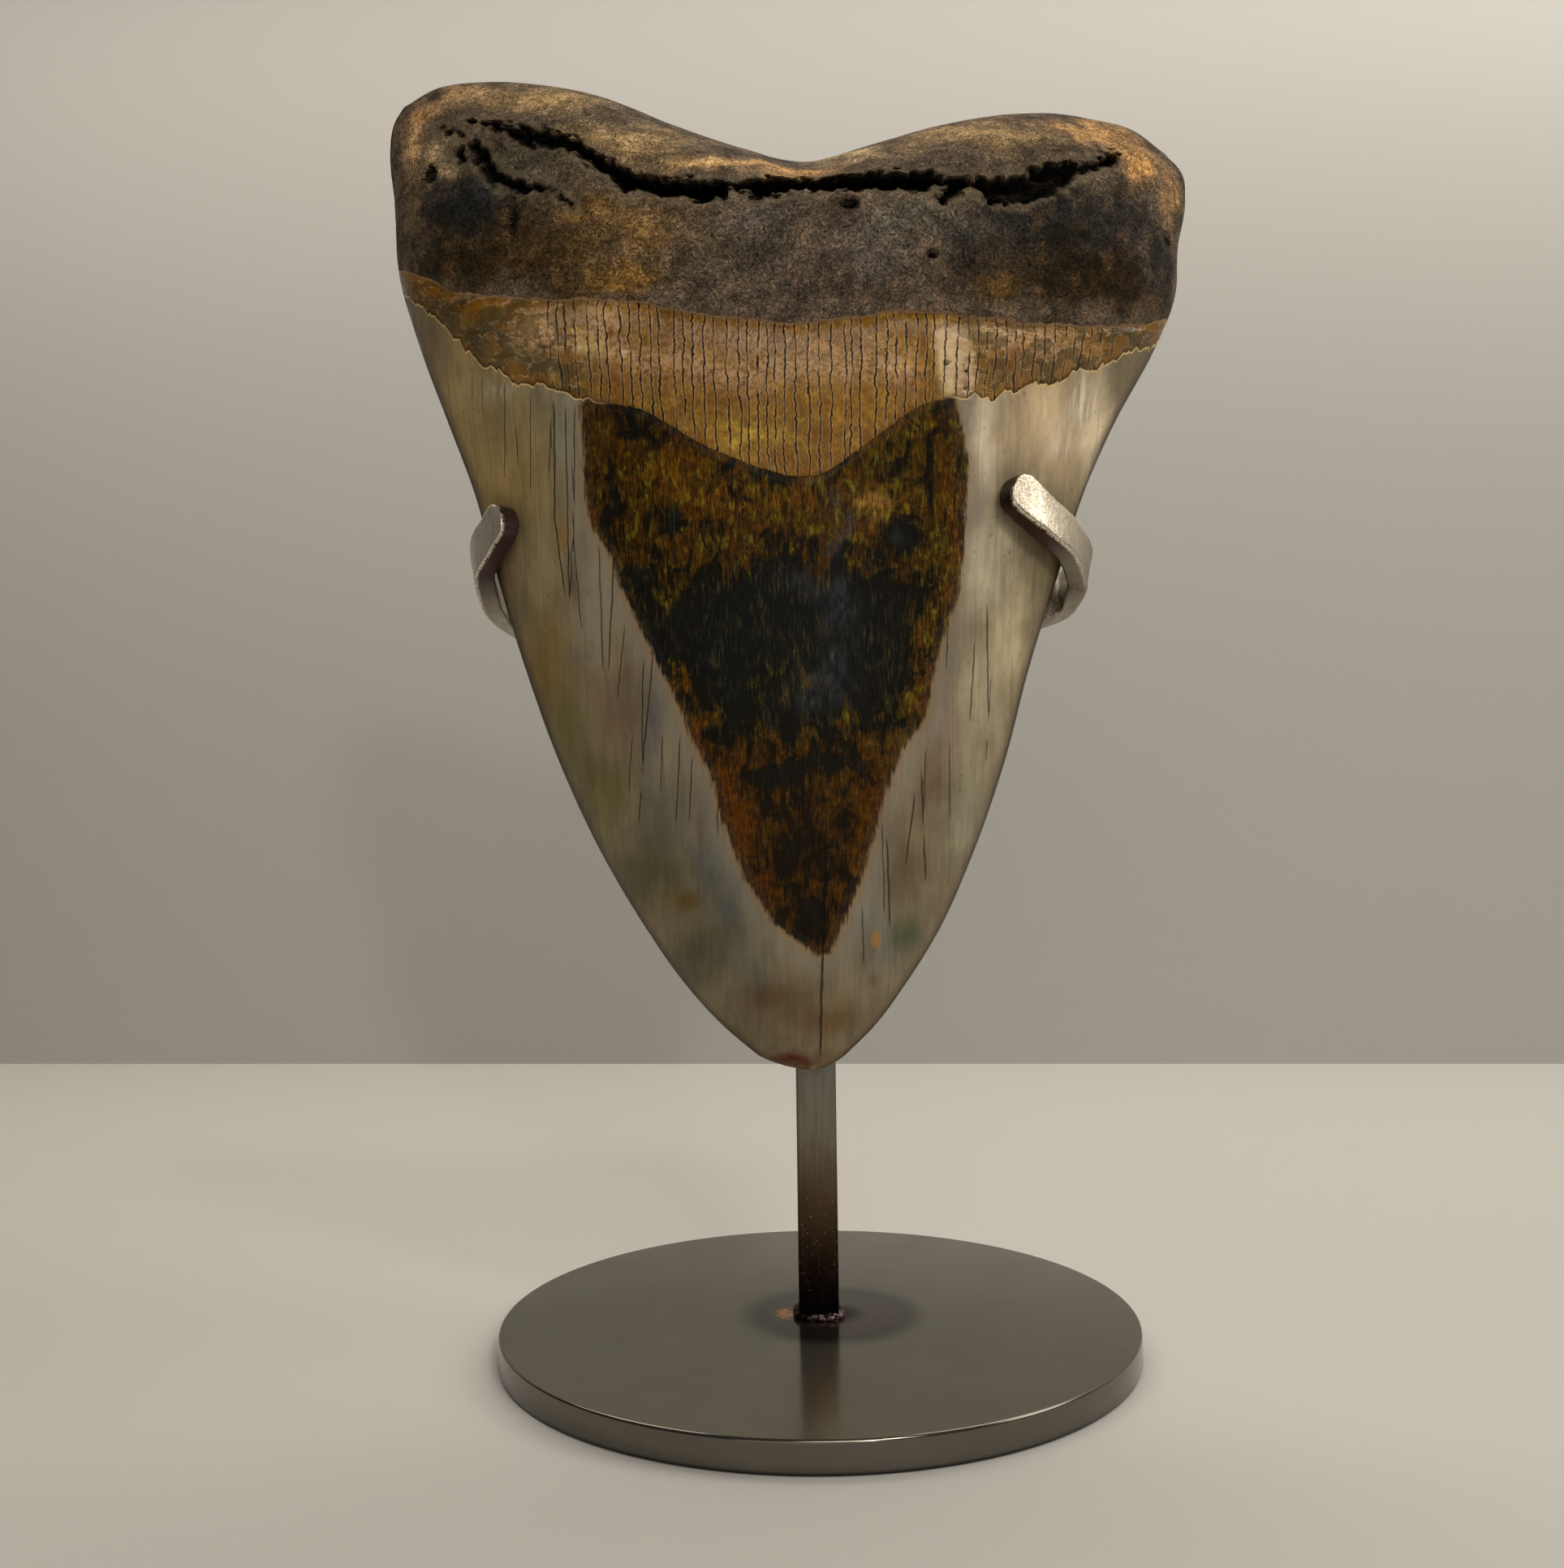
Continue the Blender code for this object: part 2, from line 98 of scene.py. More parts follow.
# %% Smooth lines and wrapped sheets
def smooth_through(points, at):
    """A smooth curve through (position, value) points, read at the given positions."""
    place = np.array([p[0] for p in points], float)
    value = np.array([p[1] for p in points], float)
    step = np.diff(place)
    rise = np.diff(value) / step
    slope = np.concatenate([rise[:1], np.zeros(len(points) - 2), rise[-1:]])
    slope[1:-1] = (rise[:-1] * step[1:] + rise[1:] * step[:-1]) / (step[:-1] + step[1:])
    at = np.clip(np.asarray(at, float), place[0], place[-1])
    i = np.clip(np.searchsorted(place, at, side="right") - 1, 0, len(points) - 2)
    t = (at - place[i]) / step[i]
    ease = t * t * (3 - 2 * t)
    leave = t * (1 - t) * (1 - t)
    arrive = t * t * (t - 1)
    return (value[i] * (1 - ease) + value[i + 1] * ease
            + step[i] * (slope[i] * leave + slope[i + 1] * arrive))


def smooth_step(value, low, high):
    """0 below low, 1 above high, and a soft step between them."""
    part = np.clip((value - low) / (high - low), 0, 1)
    return part * part * (3 - 2 * part)


def read_points(piece):
    flat = np.zeros(len(piece.data.vertices) * 3, np.float32)
    piece.data.vertices.foreach_get("co", flat)
    return flat.reshape(-1, 3).astype(float)


def write_points(piece, points):
    piece.data.vertices.foreach_set("co", np.asarray(points, np.float32).ravel())
    piece.data.update()


def add_attribute(piece, name, values):
    """Store one number for each point, for a material to read."""
    layer = piece.data.attributes.new(name, "FLOAT", "POINT")
    layer.data.foreach_set("value", np.asarray(values, np.float32))


def add_colour(piece, name, colours):
    """Store one colour for each point."""
    layer = piece.data.attributes.new(name, "FLOAT_COLOR", "POINT")
    full = np.concatenate([colours, np.ones((len(colours), 1))], axis=1)
    layer.data.foreach_set("color", full.astype(np.float32).ravel())


def wrapped_sheet(name, columns, rows, form):
    """A grid primitive moved on to a form; form(around, along) gives points in millimetres."""
    bpy.ops.mesh.primitive_grid_add(x_subdivisions=columns, y_subdivisions=rows, size=1)
    piece = bpy.context.object
    piece.name = piece.data.name = name
    flat = read_points(piece)
    write_points(piece, form(flat[:, 0] + 0.5, flat[:, 1] + 0.5) * MM)
    return piece


def pick(piece):
    """Make a piece the one that is selected and active."""
    bpy.ops.object.select_all(action="DESELECT")
    piece.select_set(True)
    bpy.context.view_layer.objects.active = piece


def shade_smooth(piece, angle):
    """Smooth shading, but for edges sharper than an angle in degrees."""
    pick(piece)
    bpy.ops.object.shade_smooth_by_angle(angle=math.radians(angle))
    piece.select_set(False)


def close_up(piece, smooth_angle):
    """Merge the edges that meet, turn every face outwards and shade the piece smooth."""
    pick(piece)
    bpy.ops.object.mode_set(mode="EDIT")
    bpy.ops.mesh.select_all(action="SELECT")
    bpy.ops.mesh.remove_doubles(threshold=0.004 * MM)
    bpy.ops.mesh.dissolve_degenerate(threshold=0.0005 * MM)
    bpy.ops.mesh.normals_make_consistent(inside=False)
    bpy.ops.object.mode_set(mode="OBJECT")
    shade_smooth(piece, smooth_angle)


def bumps(points, size, seed, octaves=4):
    """Smooth random bumps, about -1 to 1, of the given size in millimetres."""
    shift = Vector((seed * 17.3, seed * 5.1, seed * 9.7))
    return np.array([noise.fractal(Vector(p) / size + shift, 0.8, 2.0, octaves)
                     for p in points.tolist()])


print("helpers ready")

# %% [markdown]
# ## A helper for finishes
# Every finish here is a small network of nodes. Adding a node, setting it and linking it takes
# three or four lines each time, so a short class does it. A second one stands for what a node
# gives, so that sums, soft steps and coats of colour can be written one after the other, and the
# finishes below read as recipes. Colours are written as a painter would mix them, from 0 to 255,
# and turned into the linear values that Blender expects.

# %% Node recipes
def paint(red, green, blue):
    """A screen colour as linear light."""
    shares = np.array([red, green, blue]) / 255
    return tuple(np.where(shares > 0.04045, ((shares + 0.055) / 1.055) ** 2.4, shares / 12.92))


class Value:
    """What a node gives. Arithmetic with it adds the nodes that the sum needs."""

    def __init__(self, finish, socket):
        self.finish, self.socket = finish, socket

    def math(self, operation, other=0.0):
        return self.finish.node("Math", {0: self, 1: other}, operation=operation)

    def __add__(self, other):
        return self.math("ADD", other)

    def __sub__(self, other):
        return self.math("SUBTRACT", other)

    def __mul__(self, other):
        return self.math("MULTIPLY", other)

    def __truediv__(self, other):
        return self.math("DIVIDE", other)

    def __abs__(self):
        return self.math("ABSOLUTE")

    def band(self, low, high, start=0.0, end=1.0):
        """A soft step from start, below low, to end, above high."""
        return self.finish.node("MapRange", {0: self, 1: low, 2: high, 3: start, 4: end},
                                interpolation_type="SMOOTHSTEP")

    def between(self, low, full, fall, high):
        """A soft step up from low to full, and one down from fall to high."""
        return self.band(low, full) * self.band(fall, high, 1, 0)

    def thread(self, half_width):
        """Thin lines where a pattern passes its middle value."""
        return abs(self - 0.5).band(0, half_width, 1, 0)

    def lighter(self, factor):
        """This colour times a number, darker below 1 and lighter above it."""
        return self.finish.node("VectorMath", {0: self, 3: factor}, operation="SCALE")

    def coats(self, *layers):
        """This colour under thin coats of others: pairs of a share and a colour, lowest first."""
        colour = self
        for share, over in layers:
            colour = self.finish.mix(share, colour, over)
        return colour


class Finish:
    """One material, made node by node. Nearly every method gives the Value of what it made."""

    def __init__(self, name):
        self.material = bpy.data.materials.new(name)
        self.material.use_nodes = True
        self.tree = self.material.node_tree
        self.surface = self.tree.nodes["Principled BSDF"]
        self.where = self.node("TexCoord", {}, "Object")

    def feed(self, socket, value):
        """Link a value to a socket, or set the socket; a tuple of three is a screen colour."""
        if isinstance(value, Value):
            self.tree.links.new(value.socket, socket)
        elif socket.type == "RGBA":
            socket.default_value = (*paint(*value), 1.0)
        else:
            socket.default_value = value

    def node(self, kind, inputs, output=0, **settings):
        made = self.tree.nodes.new("ShaderNode" + kind)
        for setting, value in settings.items():
            setattr(made, setting, value)
        for socket, value in inputs.items():
            self.feed(made.inputs[socket], value)
        return Value(self, made.outputs[output])

    def stored(self, name, output="Fac"):
        """A number, or with output "Color" a colour, that is stored on the points."""
        return self.node("Attribute", {}, output, attribute_name=name)

    def axis(self, number, where=None):
        """One of the three coordinates, in metres."""
        return self.node("SeparateXYZ", {0: where or self.where}, number)

    def mix(self, share, first, second):
        return self.node("Mix", {0: share, 6: first, 7: second}, 2, data_type="RGBA")

    def blend(self, share, first, second):
        """Like mix, for numbers."""
        return self.node("Mix", {0: share, 2: first, 3: second}, data_type="FLOAT")

    def noise(self, size, detail=3.0, roughness=0.55, where=None, distortion=0.0, output=0):
        """Clouds of noise; size is what they measure in X, Y and Z, in millimetres."""
        scale = tuple(1 / (step * MM) for step in size)
        where = self.node("Mapping", {0: where or self.where, 3: scale})
        return self.node("TexNoise", {"Vector": where, "Scale": 1.0, "Detail": detail,
                                      "Roughness": roughness, "Distortion": distortion}, output)

    def wander(self, where, amount, size, detail):
        """Coordinates pushed about by noise, so that straight lines waver."""
        push = self.noise(size, detail, 0.5, output="Color")
        push = self.node("VectorMath", {0: push, 1: (0.5, 0.5, 0.5)}, operation="SUBTRACT")
        push = self.node("VectorMath", {0: push, 3: amount * MM}, operation="SCALE")
        return self.node("VectorMath", {0: where, 1: push}, operation="ADD")

    def splits(self, where, spacing):
        """Distance to upright lines at uneven spacing in millimetres, as a share of it."""
        across = self.axis(0, where) / (spacing * MM)
        return self.node("TexVoronoi", {"W": across, "Scale": 1.0}, "Distance",
                         voronoi_dimensions="1D", feature="DISTANCE_TO_EDGE")

    def dress(self, colour, roughness, skin=None, **constants):
        """Finish the material; skin is the height of its finest relief, in millimetres."""
        self.feed(self.surface.inputs["Base Color"], colour)
        self.feed(self.surface.inputs["Roughness"], roughness)
        if skin:
            bump = self.node("Bump", {"Height": skin, "Distance": MM, "Strength": 1.0})
            self.feed(self.surface.inputs["Normal"], bump)
        for socket, value in constants.items():
            self.surface.inputs[socket.replace("_", " ")].default_value = value
        return self.material


print("a paint sample, linear:", [round(float(c), 3) for c in paint(102, 85, 55)])

# %% [markdown]
# ## The tooth: its outline and depth
# A megalodon tooth is one piece with three regions. The enamel crown is a broad polished blade.
# The root above it is porous and rough, with two lobes. Between them, on the side that faces the
# tongue, runs the neck band. The outline is given by its side edges and by four lines across it,
# and the depth by how far the shown side swells forward of the cutting edge at each height. The
# same lines lay out the rows of the mesh, so that each row follows the real borders.

# %% Lines of the tooth
TOOTH_TIP = (-0.7, 45.5)
LEFT_EDGE = (
    (47.7, -9), (51.6, -13.6), (59.4, -20.6), (67, -25.8), (78.5, -32.5), (93.7, -39.4), (109, -44.7),
    (124.2, -49.1), (135.7, -52), (146.8, -55.9), (157.8, -59.7), (168.9, -62.5), (180.2, -63.1),
    (187.8, -63.7), (192.5, -63), (195.2, -61.5))
RIGHT_EDGE = (
    (47.6, 4.5), (51.3, 8.4), (58.9, 14.3), (66.4, 19.1), (77.7, 24.4), (92.8, 29.9), (108, 34.1),
    (123, 39), (134.4, 42.7), (145.5, 47.7), (156.4, 53.7), (163.6, 56.6), (171.1, 57.1), (178.4, 58.4),
    (183.2, 57.9), (186.2, 55.5))
ROOT_TOP = (
    (-61.5, 195.2), (-57, 197.5), (-50.3, 198.3), (-44, 198), (-31.5, 195.4), (-19, 190), (-10, 186.3),
    (-0.2, 183.8), (8, 186), (18.8, 189.4), (31.4, 191.7), (38, 192), (44, 191.2), (50.6, 189.6),
    (55.5, 186.2))
NECK_LINE = (
    (-62.9, 169.5), (-52, 162.8), (-42, 160.2), (-28.6, 158.8), (-11, 155.6), (0, 154.8), (13, 156.4),
    (30, 155.7), (40, 156.2), (50, 158), (55.8, 160.3))
ENAMEL_LINE = (
    (-62.5, 166.5), (-54.5, 159), (-48, 152.5), (-40, 148.7), (-32, 146), (-26, 144.6), (-12.5, 137.4),
    (1.6, 134.6), (9.8, 139.9), (16.5, 144.3), (28, 146.2), (38, 149.6), (48, 153.8), (54.3, 157))
MID_ROOT = (
    (-63, 187), (-50.2, 187.4), (-41.9, 185), (-34.5, 182), (-28.9, 178.8), (-23.6, 175.4), (-16.6, 173.4),
    (-7.5, 172.9), (7.4, 174.3), (20, 174), (30.7, 175.4), (36.9, 177.2), (42.2, 179.6), (48.7, 181.5),
    (58, 181))
EDGE_Y = (
    (45.5, -8.6), (60, -9), (80, -9.4), (120, -10.2), (136, -10.8), (146, -11.6), (156, -13), (165, -13.9),
    (199, -14.2))
SWELL = (
    (45.5, 1.5), (52, 3.5), (60, 5.5), (80, 9.5), (100, 12.5), (120, 15), (136, 17.6), (146, 19.6),
    (156, 20.5), (173, 21), (181, 18), (190, 14), (199, 12))
TOOTH_BACK = -6.95              # Y of the flat back
ROOT_BEGINS = (146, 166)        # the section changes from the crown's to the root's
CROWN_SECTION = (2.0, 1.35)     # how square a section is, and how blunt its edges are
ROOT_SECTION = (2.6, 1.7)
BACK_SECTIONS = ((3.0, 1.5), (6.0, 2.0))
FRONT_CROWN = 16                # how far below the top the front and the back start to round
BACK_CROWN = 8
BACK_ENAMEL_LINE = (
    (-63, 163), (-45, 154), (-25, 149), (0, 147), (22, 149), (42, 153), (57, 160))


def side_edge(points, height):
    """X of a side edge at a height; below its lowest point the tip is a parabola."""
    low_height, low_x = points[0]
    part = np.clip((height - TOOTH_TIP[1]) / (low_height - TOOTH_TIP[1]), 0, 1)
    tip = TOOTH_TIP[0] + (low_x - TOOTH_TIP[0]) * np.sqrt(part)
    return np.where(height < low_height, tip, smooth_through(points, height))


def edge_distance(x, z):
    """How far a point is from the nearer side edge, across the tooth."""
    return np.minimum(x - side_edge(LEFT_EDGE, z), side_edge(RIGHT_EDGE, z) - x)


def section(x, z, crown, root):
    """Fullness of the cross-section, 1 in the middle and 0 on the edges, and a blunter one."""
    left, right = side_edge(LEFT_EDGE, z), side_edge(RIGHT_EDGE, z)
    across = np.abs(x - (left + right) / 2) / np.maximum((right - left) / 2, 0.001)
    across = np.clip(across, 0, 1)
    blend = smooth_step(z, *ROOT_BEGINS)
    power = crown[0] + (root[0] - crown[0]) * blend
    bluntness = crown[1] + (root[1] - crown[1]) * blend
    return (1 - across ** power) ** (1 / bluntness), 1 - across ** 6


def rounding(x, z, reach):
    """1 well below the top of the root, falling to 0 on it like a rounded edge."""
    below = np.clip((smooth_through(ROOT_TOP, x) - z) / reach, 0, 1)
    return np.sqrt(1 - (1 - below) ** 2.2)


def plain_front(x, z):
    """Y of the shown side before its relief, and how much relief it takes: none on its edges."""
    full, inner = section(x, z, CROWN_SECTION, ROOT_SECTION)
    top = rounding(x, z, FRONT_CROWN)
    return smooth_through(EDGE_Y, z) - smooth_through(SWELL, z) * full * top, inner * top


def plain_back(x, z):
    """Y of the hidden side."""
    full, _ = section(x, z, *BACK_SECTIONS)
    edge_y = smooth_through(EDGE_Y, z)
    return edge_y + (TOOTH_BACK - edge_y) * full * rounding(x, z, BACK_CROWN)


print("tooth height", ROOT_TOP[2][1] - TOOTH_TIP[1], "mm")

# %% [markdown]
# ## The tooth: laying the sheet on it
# The sheet starts at the tip, where its whole lower edge gathers into one point, and climbs in
# rows to the top of the root, where its two halves meet. The first half of its width covers the
# shown side and the second half the back. Rows stand closer together where the cracks, the neck
# and the broken edge of the enamel need them.

# %% Sheet over the tooth
ROWS = (112, 36, 54, 54)        # tip to enamel, to neck, to the middle of the root, to the top
COLUMNS = 256                   # across each side
TIP_CROWDING = 1.35             # above 1, rows stand closer together near the tip


def row_height(x, stage):
    """Height at x of a row; stages 0 to 4 are the tip and the four lines above it."""
    lines = [np.full_like(x, TOOTH_TIP[1])]
    lines += [smooth_through(line, x) for line in (ENAMEL_LINE, NECK_LINE, MID_ROOT, ROOT_TOP)]
    height = lines[0]
    for k in range(4):
        part = np.clip(stage - k, 0, 1) ** (TIP_CROWDING if k == 0 else 1)
        height = height + (lines[k + 1] - lines[k]) * part
    return height


def row_ends(stage, points):
    """X where rows meet a side edge, found by stepping towards it."""
    x = np.zeros_like(stage)
    for step in range(80):
        x = side_edge(points, row_height(x, stage))
    return x


def lay_on_tooth(around, along):
    stage = np.interp(along * sum(ROWS), np.cumsum((0,) + ROWS), range(5))
    steps, where = np.unique(np.round(stage, 6), return_inverse=True)
    left = row_ends(steps, LEFT_EDGE)[where]
    right = row_ends(steps, RIGHT_EDGE)[where]
    turns = np.where(around <= 0.5, 4 * around - 1, 3 - 4 * around)
    spread = (turns + np.sin(turns * math.pi / 2)) / 2
    x = (left + right) / 2 + spread * (right - left) / 2
    z = row_height(x, stage)
    front, _ = plain_front(x, z)
    y = np.where(around <= 0.5, front, plain_back(x, z))
    tooth_place["front"] = around <= 0.5
    return np.stack([x, y, z], axis=1)


tooth_place = {}
tooth = wrapped_sheet("megalodon_tooth", 2 * COLUMNS, sum(ROWS), lay_on_tooth)
on_front = tooth_place["front"]
x, y, z = (read_points(tooth) / MM).T
print("sheet on the tooth:", len(x), "points,", int(on_front.sum()), "of them in front")

# %% [markdown]
# ## The tooth: relief
# The enamel itself is plain, and the life is in the borders. The enamel ends in a ragged step,
# high at both sides and almost nothing above the wedge. The band swells behind it like a
# flattened cord, and the root starts with a thin lip above a groove. Long cracks open the root,
# wide enough to be black inside, and small pores pit it. All of that is real relief, so the
# points are pushed in and out, as a sculptor would do it.

# %% Relief of the shown side
ENAMEL_STEP = 0.75
NECK_DEPTH = 0.4
LIP_HEIGHT = 0.45
BAND_SWELL = 1.2
CRACK_RISE = 0.22               # cracks slant upwards by this share of their depth
BOX_CLEAR = 0.01                # the skin stays this far inside the box of the solids
FAR = -50.0                     # a distance that means nowhere near
CRACKS = (  # depth in millimetres, then the outline of an opening as (x, height)
    (7.5, ((-49.8, 188.6), (-45.7, 187.5), (-41.9, 186.1), (-37.9, 185.2), (-34.5, 183.8), (-32.2, 182),
        (-30.1, 180.3), (-28.1, 178.7), (-26, 177.3), (-23.3, 176.4), (-19.2, 175.1), (-15.3, 174.8),
        (-11.5, 174.5), (-11.6, 172.3), (-12.9, 171.9), (-14.2, 171.4), (-18, 171.9), (-21, 172.4),
        (-22.7, 173.1), (-23.5, 174), (-24.2, 173.7), (-24.7, 172.8), (-26, 173.1), (-27.2, 174.5),
        (-27.8, 176.3), (-28.8, 176.8), (-30.8, 177.7), (-32.2, 179.2), (-34.1, 180.6), (-35.8, 181.5),
        (-38.1, 182.4), (-40.2, 182.7), (-42.5, 183.7), (-43.5, 185.1), (-45.9, 186.8))),
    (7.5, ((-11, 174), (-9.3, 175.2), (-7.7, 175.2), (-5.1, 176.1), (-2.3, 175.7), (0.6, 175.3),
        (2.4, 175.4), (5.2, 175.8), (7.4, 176.1), (12.4, 176), (15.8, 175.7), (18.9, 175.3), (19.2, 173.4),
        (17.2, 173), (14.8, 172.7), (12.2, 172.9), (8.4, 173), (6.2, 172.8), (3.5, 172.9), (-0.3, 173.1),
        (-2.4, 172.8), (-4.1, 172.2), (-5.9, 171.9), (-7.7, 171.7), (-9.3, 172.3))),
    (6, ((19.4, 174.7), (22.6, 174.8), (26.5, 174.8), (29.3, 175.5), (31.7, 176.5), (34.7, 178.2),
        (37.2, 178.9), (40.1, 179), (42.3, 179.7), (43.1, 181.2), (44.8, 182.1), (46.4, 181.9), (45.7, 180),
        (43.1, 178.7), (40, 177.5), (39.1, 176.7), (37.1, 175), (35.6, 173.7), (33.6, 172.8), (31.1, 171.7),
        (29.2, 171.4), (26.4, 171.2), (25, 171.5), (25.4, 172.3), (24.1, 172.7), (22.2, 173), (20.6, 171.4),
        (18.7, 171.1), (17.5, 171.5), (17.9, 172.4), (19.2, 173))),
    (3, ((-51.7, 183.3), (-51, 184.3), (-49.9, 183.4), (-49.8, 181.3), (-50.8, 181.4))),
    (5, ((-49.8, 185), (-48.1, 184.4), (-46.9, 182.8), (-46.8, 181.4), (-45.5, 179.6), (-43.6, 177.9),
        (-39.8, 176), (-37, 174.9), (-37.4, 174.5), (-40.6, 175.2), (-43.5, 176.4), (-45.6, 177.6),
        (-46.8, 179.5), (-47.7, 181.6), (-48.9, 183.2))),
    (1.2, ((-37.1, 175), (-35.2, 173.8), (-33.7, 172.7), (-32.7, 171.2), (-33.4, 171.3), (-34.3, 172.5),
        (-35.7, 173.5), (-37.4, 174.5))),
    (1.2, ((-55.4, 188.8), (-53.7, 187.8), (-51.3, 186.9), (-50.2, 185.9), (-50.9, 185.8), (-53.1, 186.6),
        (-54.5, 187.5))))
SHALLOW = (  # where rubble fills the cracks: x, height, half width, half height, share filled
    (-43, 185.2, 7, 4, 0.6), (-34.5, 181.8, 5, 3, 0.55), (-9, 173.4, 2, 1, 0.5), (22, 172.4, 3.5, 1.2, 0.6),
    (40, 178.6, 5, 1.6, 0.8), (29, 172.8, 4, 0.9, 0.5), (32, 175.4, 5, 1.3, 0.6), (-44, 178.5, 6, 4, 0.4))
PITS = (  # x, height, half width, half height, depth, in millimetres
    (5.8, 171, 1.25, 0.8, 2.8), (17.4, 163.9, 0.75, 0.55, 1.8), (2.1, 163.5, 0.9, 0.5, 0.5),
    (43.2, 154.5, 1.4, 1.1, 0.7), (19.6, 149.8, 0.2, 0.35, 0.8), (22.4, 149.4, 0.22, 0.38, 0.9),
    (22.6, 146.9, 0.22, 0.38, 0.8), (54, 170.5, 0.6, 1, 1.2), (53.5, 164, 1.6, 0.5, 0.7),
    (-55.9, 181.1, 1.3, 1.6, 1.1), (-42.2, 171, 0.6, 3.2, 0.8), (14.9, 162.6, 1.4, 0.5, 0.4))


def ragged(at, size, seed):
    """A jagged line, about -1 to 1, along positions in millimetres."""
    samples = np.arange(-80, 80, 0.15)
    values = np.array([noise.fractal(Vector((s / size, seed, 0)), 0.45, 2.1, 5)
                       for s in samples])
    return np.interp(at, samples, values)


def distance_to_outline(corners):
    """Distance to a closed outline in the plane of the tooth, positive inside it."""
    nearest = np.full_like(x, 1e9)
    inside = np.zeros(len(x), bool)
    for (ax, az), (bx, bz) in zip(corners, corners[1:] + corners[:1]):
        run, rise = bx - ax, bz - az
        part = np.clip(((x - ax) * run + (z - az) * rise) / (run * run + rise * rise), 0, 1)
        nearest = np.minimum(nearest, np.hypot(x - ax - part * run, z - az - part * rise))
        crosses = (az > z) != (bz > z)
        inside ^= crosses & (x < ax + (z - az) / (rise if rise else 1e-9) * run)
    return np.where(inside, nearest, -nearest)


def clouded(clouds, shift_x=0, shift_z=0):
    """The sum of soft clouds, each with a middle, half sizes and a strength."""
    total = np.zeros_like(x)
    for middle_x, middle_z, wide, tall, strength in clouds:
        total += strength * np.exp(-((x + shift_x - middle_x) / wide) ** 2
                                   - ((z + shift_z - middle_z) / tall) ** 2)
    return total


enamel = smooth_through(ENAMEL_LINE, x)
neck = smooth_through(NECK_LINE, x)
flank = np.maximum(smooth_step(-x, 28, 34), smooth_step(x, 18, 23))
broken_edge = enamel + ragged(x, 3.2, 2) * (0.25 + 0.95 * flank)
neck_edge = neck + ragged(x, 6.0, 5) * 0.35
full_front, relief_fades = plain_front(x, z)
along_band = np.clip((z - broken_edge) / np.maximum(neck_edge - broken_edge, 0.5), 0, 1)

raised = ENAMEL_STEP * (0.05 + 0.95 * flank) * smooth_step(broken_edge - z, -0.05, 0.45)
raised += BAND_SWELL * np.sin(math.pi * along_band ** 1.5)
raised -= NECK_DEPTH * np.exp(-((z - neck_edge + 0.3) / 0.5) ** 2)
raised += LIP_HEIGHT * smooth_step(z, neck_edge - 0.05, neck_edge + 0.3)

points = np.stack([x, y, z], axis=1)
on_root = smooth_step(z, neck_edge + 0.2, neck_edge + 3)
broad = bumps(points, 11.0, 1, 3)
fine = bumps(points, 2.4, 2, 4)
upper_slab = smooth_step(z - smooth_through(MID_ROOT, x), -0.5, 1.5)
raised += on_root * (0.55 * broad + 0.16 * fine + 0.35 * upper_slab)
hollow = np.exp(-((x + 42) / 5) ** 2 - ((z - 180) / 3) ** 2)
raised -= 0.7 * hollow * on_root
flakes = smooth_step(bumps(points, 4.0, 4, 3), 0.0, 0.12) * np.maximum(
    smooth_step(-x, 30, 44), smooth_step(x, 24, 38))
in_band = smooth_step(z - broken_edge, 0.2, 0.8) * smooth_step(neck_edge - z, 0.3, 1.2)
raised += in_band * (0.32 * flakes + 0.05 * fine)

open_inside = np.array([distance_to_outline(outline) for _, outline in CRACKS])
open_inside += 1.0 * bumps(points, 1.3, 12, 4) - 0.2
open_inside[0] += 0.25 * smooth_step(-x, 36, 42)    # the two left cracks gape a little wider
open_inside[4] += 0.5
crack = open_inside.max(axis=0)
crack_depth = np.max([depth * smooth_step(inside, -0.15, 0.75)
                      for (depth, _), inside in zip(CRACKS, open_inside)], axis=0)
crack_depth *= 1 - 0.8 * np.clip(clouded(SHALLOW), 0, 1)
rubble = 0.9 * bumps(points, 2.0, 6, 3) * smooth_step(crack_depth, 0.8, 3)
pit_depth = np.zeros_like(x)
pit = np.full_like(x, FAR)
for pit_x, pit_z, wide, tall, depth in PITS:
    away = np.hypot((x - pit_x) / wide, (z - pit_z) / tall) * (1 + 0.15 * fine)
    pit_depth = np.maximum(pit_depth, depth * smooth_step(-away, -1.3, -0.5))
    if depth >= 0.8:
        pit = np.maximum(pit, (1 - away) * min(wide, tall))
sunk = (crack_depth - rubble) + pit_depth

front_y = full_front - raised * relief_fades + sunk * np.clip(relief_fades * 1.5, 0, 1)
back_line = smooth_through(BACK_ENAMEL_LINE, x)
back_relief = smooth_step(z, back_line, back_line + 1.5) * rounding(x, z, BACK_CROWN)
back_y = y - (0.35 * (1 - np.abs(fine)) + 0.3) * back_relief
points[:, 1] = np.where(on_front, front_y, back_y)
points[:, 2] = z + np.where(on_front, CRACK_RISE * crack_depth * relief_fades, 0)
inner_low, inner_high = np.array(cad_box) / MM + np.array([[BOX_CLEAR], [-BOX_CLEAR]])
write_points(tooth, np.clip(points, inner_low, inner_high) * MM)
print("cracks reach", round(float(crack_depth.max()), 1), "mm into the root")
